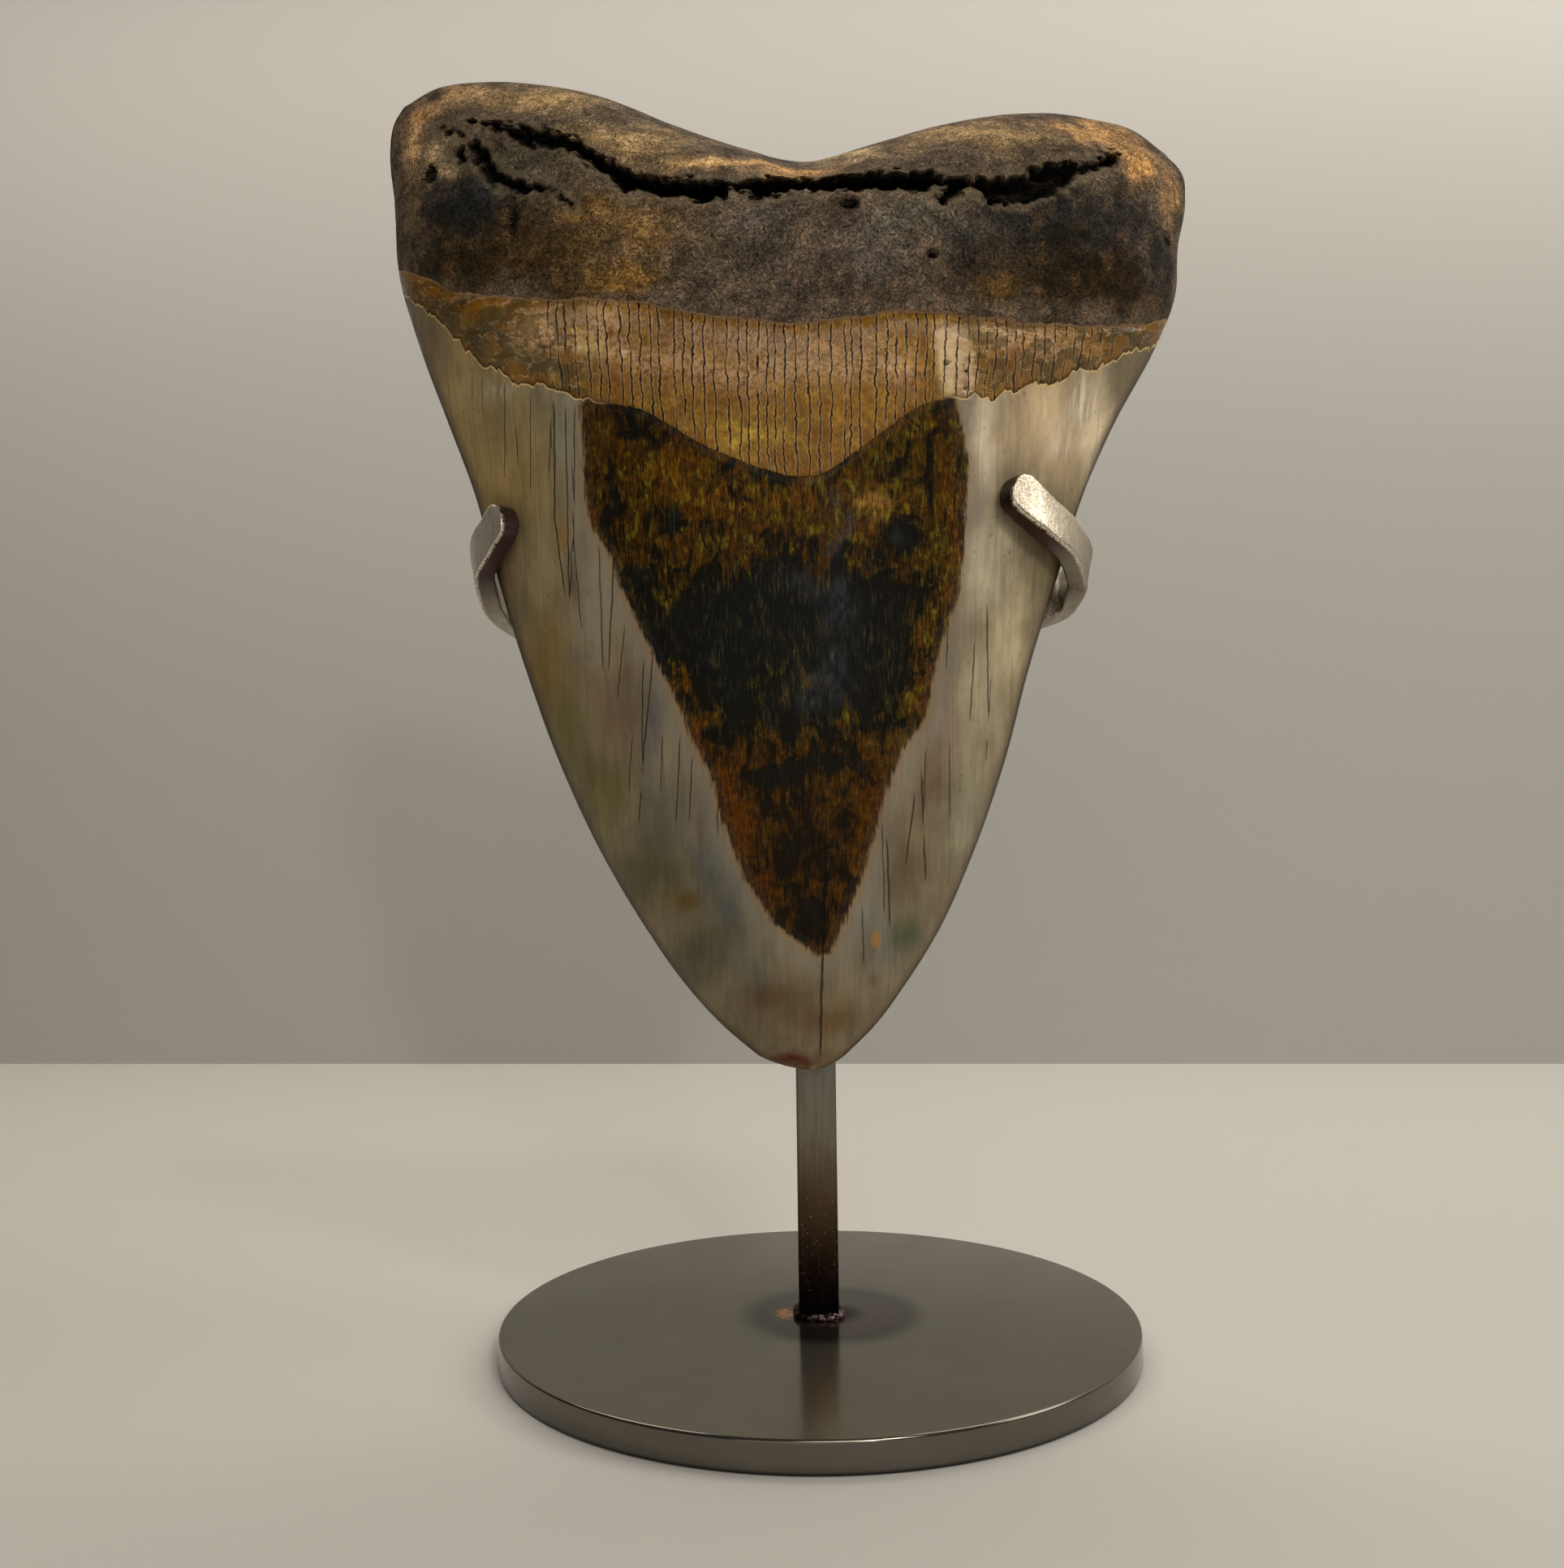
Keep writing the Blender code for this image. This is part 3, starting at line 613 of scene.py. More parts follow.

# %% [markdown]
# ## The tooth: where each colour lies
# A buried tooth takes its colours from minerals that seep in, so they lie in soft clouds with a
# few hard borders. Each row below is one such cloud: a middle, half a width, half a height, a
# colour and a strength, and a slow random sway bends them all. Some of the palest clouds are
# partly painted highlight. The middles, the sizes and the strengths were picked one by one, and
# most of the colours were solved from measured tones. Most of the colours weren't: a separate
# program solved them from measured tones. The hard borders are distances to the neck, to the
# enamel's edge and to the outline of the dark wedge, stored on the points. The nodes then break
# every border up with fibres far finer than the mesh.

# %% Washes of colour
CROWN_BASE = (128, 116, 89)
# The palest washes high on the right of the crown are partly painted highlight from the right.
CROWN_WASHES = (
    (-52.3, 150.2, 6.1, 8.1, 184, 156, 104, 0.75), (-46.6, 135.6, 7.6, 10.7, 175, 147, 88, 0.7),
    (-34.1, 141, 2.7, 12.1, 139, 135, 112, 0.75), (-37.8, 122.8, 4.6, 8.1, 154, 137, 102, 0.6),
    (-33.5, 115.3, 2.1, 8.1, 128, 124, 109, 0.75), (-41.1, 108.6, 4.6, 8.1, 145, 114, 49, 0.7),
    (-29.5, 100.7, 3.8, 8.1, 111, 85, 65, 0.7), (-24.3, 98.1, 1.8, 6.7, 94, 92, 93, 0.75),
    (-37.5, 98.6, 3, 5.4, 109, 105, 43, 0.7), (-32.6, 88.6, 4.6, 6.7, 101, 98, 46, 0.75),
    (-22.2, 85.9, 3.6, 6.4, 88, 90, 82, 0.7), (-17.2, 84.6, 1.8, 5.4, 82, 64, 50, 0.6),
    (-25.3, 76, 5.2, 5.9, 56, 57, 26, 0.75), (-16.7, 77.3, 2.6, 6, 70, 78, 76, 0.75),
    (-12.9, 71, 3, 6.4, 62, 70, 74, 0.75), (-18, 64.7, 4.6, 4, 61, 62, 38, 0.75),
    (-9.1, 62.3, 3.2, 4.4, 64, 76, 76, 0.6), (-6.9, 57.2, 5.2, 4, 82, 50, 12, 0.7),
    (1.8, 53.8, 6.7, 3.8, 97, 61, 19, 0.7), (-2.7, 46.9, 4.9, 1.1, 85, 30, 0, 1),
    (9.6, 66.9, 3.3, 5.4, 102, 105, 104, 0.75), (12.8, 79.3, 2.4, 6.7, 88, 66, 42, 0.75),
    (18.1, 89.1, 2.3, 8.1, 102, 79, 58, 0.75), (23.1, 85.3, 2.7, 8.1, 144, 141, 115, 0.75),
    (20, 98.8, 1.5, 6.7, 144, 120, 107, 0.75), (25.9, 102.6, 3, 8.1, 192, 178, 150, 0.75),
    (30.4, 112.5, 3, 6.7, 213, 194, 155, 0.75), (26.3, 123, 3.3, 6.7, 224, 212, 180, 0.75),
    (23.2, 131, 1.4, 8.1, 167, 156, 140, 0.75), (26.3, 140.2, 2.1, 6.7, 247, 228, 198, 0.75),
    (35.5, 143.3, 6.1, 8.1, 247, 217, 173, 0.75), (43.8, 142.3, 2.4, 8.1, 247, 224, 187, 0.75),
    (-20.9, 72.5, 2.1, 0.9, 100, 78, 1, 0.75), (13.4, 66.8, 1.7, 3.2, 62, 77, 48, 0.75))
CROWN_SPOTS = (  # small crisp stains
    (-19.8, 72.9, 2.2, 0.9, 106, 82, 7, 0.85), (-18.4, 72.2, 1.2, 0.7, 99, 74, 6, 0.8),
    (9.2, 65.9, 0.7, 1.2, 169, 116, 11, 0.95), (8.9, 59.7, 0.9, 1.1, 93, 75, 39, 0.8),
    (12.8, 66.3, 1.1, 2.2, 86, 87, 56, 0.75), (13.6, 68.2, 1, 1.4, 98, 98, 64, 0.6),
    (-37.1, 127.3, 1, 2.2, 168, 123, 44, 0.6), (-35.7, 120.3, 0.6, 2.8, 92, 74, 64, 0.75))
WEDGE_BASE = (64, 40, 1)
WEDGE_WASHES = (
    (-19.7, 134.9, 4.2, 5.3, 88, 55, 1, 0.9), (-24.6, 140.2, 3.5, 4.2, 50, 29, 1, 0.8),
    (-29.9, 135, 1.1, 9.3, 62, 36, 1, 0.8), (-15, 133, 2.8, 3.5, 76, 49, 3, 0.8),
    (-9.9, 131.5, 4.7, 2.6, 104, 65, 1, 0.8), (-4, 132.7, 2.6, 2.3, 109, 72, 4, 0.8),
    (7.6, 131.3, 2, 1.7, 140, 101, 45, 0.9), (5.6, 126.8, 1.1, 1.6, 96, 64, 5, 0.8),
    (13.1, 137.3, 5.8, 4.2, 70, 52, 4, 0.8), (19.7, 140.4, 1.9, 5.8, 67, 42, 2, 0.8),
    (21.8, 125.1, 1.3, 8.2, 90, 55, 2, 0.9), (15.6, 120.8, 3.3, 4.2, 64, 42, 1, 0.8),
    (-27.8, 125, 2.3, 3.3, 65, 40, 1, 0.8), (-21.7, 114.7, 3.5, 4.2, 85, 66, 8, 0.8),
    (-9.8, 107.3, 7, 7, 53, 50, 6, 0.9), (1, 103.6, 4.7, 4.7, 56, 51, 9, 0.8),
    (11.6, 102.4, 2.3, 5.8, 64, 51, 3, 0.8), (16.9, 100, 1.3, 5.8, 73, 40, 1, 0.9),
    (-20.5, 102.8, 2.8, 5.1, 97, 59, 1, 0.8), (-18.5, 94.4, 1.9, 4.2, 81, 42, 0, 0.9),
    (-12.3, 85.8, 2, 7, 74, 38, 0, 0.9), (-5.2, 93.5, 5.4, 3, 54, 30, 0, 0.8),
    (0.1, 79.5, 3.5, 7, 50, 28, 0, 0.8), (8.1, 85.5, 1.3, 8.2, 67, 35, 0, 0.9),
    (-8.5, 72.3, 1.8, 3.3, 66, 24, 0, 0.9), (-0.6, 67.2, 3.5, 2.3, 43, 15, 0, 0.8))
BAND_BASE = (132, 95, 29)
# The palest washes near the left end of the band are partly painted highlight.
BAND_WASHES = (
    (-52.9, 160.4, 4, 2.1, 56, 47, 17, 0.9), (-47, 158.3, 2.8, 0.9, 75, 62, 8, 0.8),
    (-47.7, 155.2, 3.5, 1.8, 40, 45, 25, 0.9), (-41.5, 155.6, 1.5, 1.4, 73, 43, 10, 0.9),
    (-42.5, 152.6, 2.6, 0.9, 136, 127, 69, 0.7), (-36.3, 150.3, 2.8, 1.1, 113, 104, 56, 0.8),
    (-34.6, 156.3, 4.7, 1.6, 235, 192, 99, 0.9), (-31, 152.8, 2.8, 0.9, 247, 222, 132, 0.8),
    (-27.6, 148.3, 3.5, 1.5, 133, 88, 2, 0.9), (-21.4, 154.9, 4.4, 2.1, 104, 70, 8, 0.8),
    (-19.5, 149.7, 4.7, 1.2, 159, 108, 14, 0.8), (-11.3, 152.6, 5.8, 2.1, 109, 71, 8, 0.7),
    (-10.8, 145.9, 5.8, 2.6, 132, 87, 4, 0.8), (-9.8, 139.5, 5.8, 1.9, 189, 153, 53, 0.8),
    (-4.3, 152.7, 2.1, 1.5, 74, 38, 4, 0.8), (4.3, 151.3, 5.4, 1.4, 141, 98, 22, 0.8),
    (6, 144.6, 5.4, 2.1, 162, 116, 28, 0.8), (14.2, 150.4, 3.3, 2.1, 166, 119, 30, 0.8),
    (15.7, 147.1, 3.3, 0.9, 125, 74, 1, 0.9), (19.9, 149.4, 1.1, 4, 247, 224, 153, 1),
    (25.1, 154.1, 4.2, 1.9, 156, 126, 68, 0.8), (30, 148.6, 5.6, 1.1, 120, 99, 58, 0.8),
    (35, 153, 4.7, 1.5, 120, 88, 41, 0.8), (29.6, 152.1, 1.5, 1.2, 112, 58, 6, 0.7),
    (47.1, 156.4, 5.4, 1.4, 74, 59, 30, 0.9), (-47.5, 156.4, 4, 1.6, 60, 54, 30, 0.85),
    (-40.6, 152.4, 5.4, 1.6, 64, 58, 32, 0.85), (-33.3, 148.6, 3.5, 1.1, 86, 70, 32, 0.7),
    (-46.9, 159.2, 3, 0.9, 150, 104, 28, 0.6), (-35.8, 157.1, 4.2, 1.4, 206, 172, 130, 0.5),
    (52.7, 156.8, 4.7, 1.2, 120, 98, 56, 0.5))
ROOT_BASE = (103, 89, 73)
# The near-white washes on top of the root and above its cracks are partly painted highlight.
ROOT_WASHES = (
    (-47.5, 172.8, 8.6, 6.1, 37, 35, 29, 0.85), (36.5, 166.5, 12.8, 6.5, 44, 42, 36, 0.8),
    (-47.7, 165.6, 10.5, 3.5, 45, 38, 22, 0.7), (40.4, 162, 10.5, 2.8, 27, 12, 2, 0.8),
    (-52.7, 193.3, 4.7, 2.1, 247, 198, 137, 0.9), (-39.9, 191, 7, 2.8, 247, 204, 140, 0.9),
    (-26.7, 182.7, 7, 2.8, 224, 186, 130, 0.9), (-57.9, 191.4, 2.6, 2.1, 226, 156, 84, 0.6),
    (-13.3, 177.6, 6.5, 1.3, 247, 198, 134, 0.9), (-1.1, 177.4, 5.8, 1.1, 243, 186, 113, 0.9),
    (7.8, 180.7, 4.7, 1.6, 230, 198, 148, 0.9), (25.1, 184.2, 9.3, 2.8, 205, 170, 118, 0.9),
    (42.6, 186, 5.8, 2.8, 247, 190, 120, 0.9), (49.4, 182.1, 2.8, 2.8, 247, 186, 111, 0.9),
    (54.9, 177.6, 1.5, 4, 176, 135, 90, 0.9), (-59.2, 186.7, 1.6, 4.7, 247, 196, 139, 0.9),
    (-54.2, 182.1, 2.6, 2.6, 222, 192, 144, 0.8), (-58.3, 176.6, 2, 5.5, 111, 92, 63, 0.9),
    (-51.4, 173.7, 4.4, 4.1, 27, 29, 26, 0.95), (-45.6, 174.7, 4.1, 2.3, 44, 48, 51, 0.8),
    (-41.2, 170.6, 1, 3.8, 3, 3, 3, 1), (-46.4, 165.7, 5.8, 3.5, 44, 36, 18, 0.9),
    (-54.4, 166.2, 2.9, 3.5, 44, 36, 21, 0.8), (-41.6, 180.4, 5.8, 2.6, 114, 107, 87, 0.9),
    (-33.9, 177, 3.2, 1.5, 112, 98, 77, 0.8), (-31.4, 171.6, 4.4, 2.3, 140, 106, 55, 0.9),
    (-34.1, 165.5, 4.1, 3.5, 62, 46, 19, 0.85), (-25.8, 161, 4.7, 2.1, 146, 106, 40, 0.9),
    (-23.3, 167.9, 4.4, 3.3, 167, 127, 73, 0.85), (-15.3, 165.6, 3.3, 3.5, 119, 106, 85, 0.7),
    (-7.6, 167.4, 5.6, 4.4, 100, 94, 86, 0.8), (0.3, 160.8, 6.8, 3, 68, 61, 57, 0.8),
    (9.5, 165.3, 5.6, 4.2, 96, 91, 85, 0.8), (14.3, 168.6, 5.6, 1.5, 123, 118, 102, 0.8),
    (23.4, 167.5, 4.1, 2.6, 77, 75, 70, 0.8), (23.4, 162.3, 5.5, 3.2, 33, 32, 26, 0.85),
    (28.8, 159.8, 4.1, 1.3, 82, 45, 9, 0.8), (33.5, 169.4, 8.2, 3.8, 42, 41, 38, 0.9),
    (36.8, 165.1, 6.7, 3.8, 27, 16, 4, 0.9), (42, 161.7, 6.7, 2.6, 26, 11, 1, 0.9),
    (47.2, 171.9, 4.1, 3.5, 36, 38, 38, 0.8), (53, 167.3, 2, 5.3, 27, 29, 33, 0.8),
    (-40.4, 182.9, 8.8, 1.9, 48, 42, 36, 0.4), (-46.8, 180.2, 4, 3.5, 44, 40, 34, 0.75),
    (-53.5, 173.8, 2.3, 3.5, 30, 28, 22, 0.7), (44.9, 173.6, 3.5, 4.7, 44, 40, 32, 0.25),
    (-51.5, 167.4, 6.4, 3.5, 54, 42, 22, 0.8), (-41.5, 163.9, 5.8, 2.3, 66, 50, 24, 0.7),
    (-31.7, 166.4, 4.7, 3.5, 112, 86, 46, 0.6), (-29, 161.2, 5.6, 1.6, 146, 110, 52, 0.75),
    (-24, 169.5, 5.3, 2.3, 136, 108, 66, 0.55), (-48.2, 175.5, 5.6, 2.8, 50, 52, 52, 0.8),
    (-10.5, 162.8, 11.7, 5.3, 84, 74, 66, 0.45), (39.1, 170.5, 7.2, 3.7, 46, 46, 42, 0.75),
    (47.5, 169.1, 3.3, 4.1, 40, 40, 38, 0.65), (41.8, 161.5, 8.8, 3.7, 56, 44, 24, 0.8),
    (34.1, 163, 5.3, 2.3, 52, 44, 30, 0.7), (28, 159.6, 4.4, 1.9, 110, 88, 48, 0.65),
    (7.2, 159.4, 8.2, 2.1, 70, 58, 50, 0.5), (-45.6, 192.1, 11.1, 3.5, 152, 126, 86, 0.5),
    (-24.3, 180.6, 8.2, 2.8, 150, 124, 84, 0.5), (26.1, 182.7, 10.5, 2.8, 142, 118, 80, 0.5),
    (-40, 173.1, 7, 1.4, 80, 66, 44, 0.4), (-39.5, 167.2, 5.3, 4.7, 84, 62, 30, 0.6),
    (-35.5, 161.9, 3.5, 1.6, 70, 50, 22, 0.6), (-16.7, 166.7, 4.7, 3.5, 112, 92, 64, 0.45))
# Where the wedge is darker, or lighter below 0, and where a painted reflection lies on it as a
# grey haze: the same rows without a colour.
GLOOM = (
    (-6, 126.8, 9, 3, -0.6), (-3.5, 91, 5.5, 0.7, 1), (2.5, 92.4, 3, 0.7, 1), (-1.5, 76, 4, 9, 0.4),
    (-1, 96, 7, 3.5, 0.5), (-1.5, 68.5, 2.4, 2.6, 0.7), (4.5, 78, 0.9, 8, 0.6), (-26, 112, 3, 6, 0.6),
    (14, 117, 4, 4, 0.5), (-22, 130, 3, 3, 0.5), (-30.1, 133.8, 0.8, 4.4, 1.1),
    (-24.4, 143.7, 4.7, 1.5, 0.7), (-17.4, 140.9, 4.7, 1.3, 0.7), (-4.6, 135.4, 6.5, 0.9, 1),
    (20, 143.9, 2.6, 1.5, 0.8), (-21.1, 128.4, 1.4, 1.1, 1.1), (-14.2, 127.2, 4.2, 1.2, 0.9),
    (-4.7, 125.2, 5.4, 1.1, 0.7), (-25.2, 120.2, 2.3, 1.8, 1.1), (-16.8, 114.9, 4.7, 2.9, 1.2),
    (-6, 118, 6.3, 3.3, 1.3), (4.6, 121.6, 0.9, 2.3, 1.1), (8.4, 112.1, 3.7, 5.4, 1.3),
    (12.4, 126.5, 3, 2.3, 1.3), (18, 135.9, 0.7, 4.4, 0.9), (15.6, 132.4, 0.8, 1.6, 0.5),
    (-21.8, 110.6, 3.3, 1.6, 0.6), (-12.1, 109.1, 5.4, 4, 1), (-5.1, 100.7, 4.2, 3, 0.7),
    (-12.3, 101.2, 2.1, 3.3, 1), (1.2, 102.2, 3.3, 3.3, 0.9), (7, 103.6, 2.1, 4.2, 1),
    (11.9, 105.7, 1.9, 4.4, 1), (-14.8, 97.2, 2.6, 1.1, 0.9), (-5.4, 90.5, 3.5, 0.8, 1.3),
    (3.3, 93.1, 3.7, 0.6, 1.1), (6.9, 91.6, 1.4, 3, 0.7), (-5.9, 86.9, 2.8, 3.5, 0.5),
    (-0.4, 83.2, 4, 5.8, 0.35), (-5.4, 77.7, 3.3, 4.2, 0.4), (0, 71.4, 1.9, 1.4, 1.1),
    (-4.9, 70, 0.7, 3, 0.6), (10, 98.5, 4.2, 0.7, 0.9), (-19.7, 135.4, 2.8, 4, -0.6),
    (7.6, 131.3, 2.3, 1.8, -1.2), (21.8, 124, 0.9, 7, -0.7), (-12.1, 84.6, 1.4, 6.5, -0.6),
    (8.4, 85.5, 1.1, 7, -0.6), (-18.5, 95.6, 1.3, 2.8, -0.5), (-8.9, 72.8, 1.4, 2.8, -0.6),
    (-4.9, 114.3, 17.5, 8.2, 0.8), (-14.6, 106.2, 7, 7, 0.5), (4.6, 109.5, 10.5, 7, 0.5))
PAINTED_REFLECTIONS = (
    (3.7, 127, 1.1, 4.4, 0.9), (4.2, 114.6, 2.1, 3, 0.8), (-0.1, 118.9, 3, 1.9, 0.35),
    (0.3, 104.2, 3.3, 3, 0.6), (2.8, 107.7, 2.3, 2.3, 0.5), (12, 126.5, 1.6, 1.6, 0.35))


sway = [bumps(points, 7.0, seed, 4) for seed in (21, 22)]


def washed(colour, washes, drift):
    """Lay soft clouds of colour over another; drift bends them, in millimetres."""
    at_x, at_z = x + drift * sway[0], z + drift * sway[1]
    for middle_x, middle_z, wide, tall, red, green, blue, strength in washes:
        share = strength * np.exp(-((at_x - middle_x) / wide) ** 2
                                  - ((at_z - middle_z) / tall) ** 2)
        colour = colour + (np.array(paint(red, green, blue)) - colour) * share[:, None]
    return colour


tones = {"crown_tone": washed(paint(*CROWN_BASE), CROWN_WASHES, 2.0),
         "wedge_tone": washed(paint(*WEDGE_BASE), WEDGE_WASHES, 3.0),
         "band_tone": washed(paint(*BAND_BASE), BAND_WASHES, 1.2),
         "root_tone": washed(paint(*ROOT_BASE), ROOT_WASHES, 2.5)}
tones["crown_tone"] = washed(tones["crown_tone"], CROWN_SPOTS, 0.3)
for name, tone in tones.items():
    add_colour(tooth, name, tone)
add_attribute(tooth, "gloom", clouded(GLOOM, 2.2 * sway[0], 2.2 * sway[1]))
add_attribute(tooth, "painted_reflection", clouded(PAINTED_REFLECTIONS, 2.5 * sway[0], 2.5 * sway[1]))
print("washes laid:", len(CROWN_WASHES + WEDGE_WASHES + BAND_WASHES + ROOT_WASHES))

# %% [markdown]
# ## The tooth: the wedge and the hairline cracks
# The dark wedge is where the enamel is thin and the stained inside shows through. Its outline is
# a closed line, and each point stores its distance to it. The hairline cracks in the enamel are
# too thin for the mesh. Each point stores its distance to the nearest one instead, positive on
# one side and negative on the other, and the nodes draw a line where that distance passes zero.

# %% Distances for the borders
WEDGE_LEFT = (
    (-33.4, 146), (-33.5, 134.8), (-32.6, 128.3), (-30, 124.5), (-28.6, 119.9), (-26.4, 115.2),
    (-23.7, 109.3), (-20.7, 103.4), (-18.3, 97.1), (-15.2, 90.7), (-13.8, 84.3), (-10.7, 76), (-6.3, 68.7),
    (0.4, 63.6))
WEDGE_RIGHT = (
    (2.2, 64.2), (4.2, 68.6), (6.9, 75.2), (9, 81.8), (10.8, 88.3), (13.5, 95.3), (16.9, 99.1),
    (17.2, 101.3), (19.2, 110.5), (21.8, 117.6), (22.7, 125), (23.2, 136.5), (21, 146))
# Painted highlights, where the band and the enamel would mirror the light: a row that wanders
# along the band, and single glints, as rows of a middle, half a width, half a height and a strength.
PAINTED_HIGHLIGHT_ROW = (
    (-36, 154), (-32.4, 153), (-22, 150.2), (-11, 148.6), (2, 149), (8, 149.6), (13, 148.8), (17, 148.8))
PAINTED_GLINTS = (
    (41.5, 146.5, 2.4, 4, 0.8), (38, 141, 2, 3, 0.6), (-46, 149, 4, 1.2, 0.3), (-32.4, 153.2, 2.6, 1, 1.2),
    (-49, 161.6, 3, 0.5, 0.8), (12, 148.8, 3, 0.9, 1), (-44, 160, 2, 0.5, 0.6), (-34, 155.6, 8, 2.8, 1),
    (-10, 152.6, 14, 2.6, 0.3), (32, 153.5, 8, 2, 0.7), (-27, 151.5, 2, 0.8, 1.2), (28, 154, 4, 1, 0.5),
    (41, 156.6, 3.5, 0.5, 0.6))
# The bare patch at the right end of the wedge, where enamel and band meet.
PATCH = (
    (17.8, 153.6), (17.9, 151.2), (19.4, 147.5), (21.6, 143.4), (23.8, 143.9), (24.4, 147.7), (23.4, 151),
    (22.4, 154.6))
# Hairline cracks: (x, height) from top to bottom, and width in millimetres.
HAIRLINES = (
    (((-29.3, 123.9), (-30.7, 106.2)), 0.26), (((-27.8, 114.6), (-29.5, 101.9)), 0.2),
    (((-23.5, 110.7), (-25.1, 98.6), (-26.8, 83.4)), 0.24), (((-18.1, 95.2), (-18.9, 83.3)), 0.22),
    (((-22.5, 98.5), (-23.2, 87.7)), 0.18), (((-27.1, 98.6), (-28.2, 87.8)), 0.18),
    (((-35.2, 131.8), (-36.3, 117.2)), 0.2), (((-37.9, 145.1), (-39, 135.2)), 0.2),
    (((-43.8, 144.4), (-43.8, 136.9)), 0.22), (((20.5, 119.3), (20, 105.6)), 0.2),
    (((24.6, 112.1), (23.8, 98.1)), 0.24), (((10.1, 85.1), (10.6, 68.7)), 0.2),
    (((15.3, 88.9), (13.7, 76.3)), 0.3), (((17, 95.9), (16.5, 82.9)), 0.2),
    (((5.1, 77.6), (4.8, 67.7)), 0.3), (((27.3, 106.8), (26.5, 91.6)), 0.18),
    (((-50.1, 153.4), (-51, 146.4)), 0.14), (((-48.5, 152.7), (-49.4, 145.2)), 0.14),
    (((-45, 150.7), (-46.3, 135.6)), 0.18), (((-41, 148.7), (-42.1, 132.7)), 0.18),
    (((-37.4, 147.1), (-38.3, 130), (-37, 118)), 0.3), (((-35.8, 146.1), (-36.5, 117)), 0.24),
    (((-34.3, 146), (-35.4, 126), (-34.6, 112.5)), 0.22), (((-33, 145.8), (-33.4, 138.7)), 0.16),
    (((-31.5, 126.5), (-31.5, 106.5)), 0.2), (((-25.2, 109.5), (-26, 91)), 0.24),
    (((-19.8, 98), (-21, 83)), 0.22), (((-14.4, 88.5), (-14.6, 81.5)), 0.22),
    (((1.6, 78), (1.3, 69.7), (0.9, 60.9), (0.5, 47.2)), 0.5), (((7, 72), (7.4, 61)), 0.22),
    (((10.9, 82), (11.4, 67)), 0.34), (((16.2, 92), (17, 74)), 0.36), (((20.6, 97), (20.8, 83)), 0.2),
    (((26.4, 117), (26.9, 98)), 0.28))


def hairline_fields():
    """Signed distance to the nearest hairline, and how open that one is here."""
    place, open_here = [], []
    for route, width in sorted(HAIRLINES, key=lambda line: line[0][0][0]):
        heights = [p[1] for p in route][::-1]
        place.append(np.interp(z, heights, [p[0] for p in route][::-1]))
        reach = np.minimum(z - heights[0], heights[-1] - z)
        open_here.append(width * smooth_step(reach, -0.2, 2.5))
    away = x - np.array(place)
    nearest = np.argmin(np.abs(away), axis=0)
    passed = (away > 0).sum(axis=0)
    pick = (nearest, np.arange(len(x)))
    sign = np.where(passed % 2 == 0, -1.0, 1.0)
    return np.abs(away)[pick] * sign, np.array(open_here)[pick]


# The painted highlight: a row along the band and single glints, stored on the points.
painted_highlight_row = smooth_through(PAINTED_HIGHLIGHT_ROW, x) + 1.2 * sway[1]
painted_highlight_ends = 0.5 * smooth_step(x, -36, -30) * smooth_step(-x, -17, -14)
painted_highlight = np.exp(-((z - painted_highlight_row) / 2.6) ** 2) * painted_highlight_ends
for painted_glint in PAINTED_GLINTS:
    painted_highlight = np.maximum(painted_highlight, clouded([painted_glint]))
wedge_top = [(px, float(smooth_through(ENAMEL_LINE, px)) + 2.5) for px in np.linspace(18, -31, 30)]
wedge = distance_to_outline(list(WEDGE_LEFT) + list(WEDGE_RIGHT) + wedge_top)
hairline, hairline_open = hairline_fields()
mid_root = smooth_through(MID_ROOT, x)
# Painted highlight along the lips of the cracks, where light from above catches them.
painted_crack_lip_highlight = np.exp(-((crack + 0.75) / 0.45) ** 2) * (z < mid_root - 0.3)
painted_crack_lip_highlight += 0.6 * np.exp(-((crack + 0.9) / 0.6) ** 2) * (z > mid_root)
back_edge = back_line + 0.5 * ragged(x, 3.0, 9)
everywhere = {"hairline": hairline, "shallow": clouded(SHALLOW), "rim": edge_distance(x, z)}
sides = {"above_enamel": (z - broken_edge, z - back_edge), "above_neck": (z - neck_edge, z - back_edge),
         "hairline_open": (hairline_open, 0), "painted_crack_lip_highlight": (painted_crack_lip_highlight, 0), "painted_highlight": (painted_highlight, 0),
         "flank": (flank, 0), "wedge": (wedge, FAR), "patch": (distance_to_outline(PATCH), FAR),
         "opening": (np.maximum(crack, pit), FAR)}
for field, values in everywhere.items():
    add_attribute(tooth, field, values)
for field, (front_values, back_values) in sides.items():
    add_attribute(tooth, field, np.where(on_front, front_values, back_values))
print("hairlines:", len(HAIRLINES), " deepest point inside the wedge:", round(wedge.max(), 1), "mm")

# %% [markdown]
# ## The tooth: closing the skin
# The two halves of the sheet meet along the side edges and the top, so merging doubles closes the
# skin. The back is hardly ever studied and has no fine borders, so a third of its faces is
# enough: it is selected by the direction that its faces look and thinned by decimation.

# %% Close and thin
BACK_SHARE = 0.3                # of the faces of the back
BACK_BEGINS = 1.5               # millimetres behind the side edges and below the top


def read_faces(piece, what):
    flat = np.zeros(len(piece.data.polygons) * 3, np.float32)
    piece.data.polygons.foreach_get(what, flat)
    return flat.reshape(-1, 3)


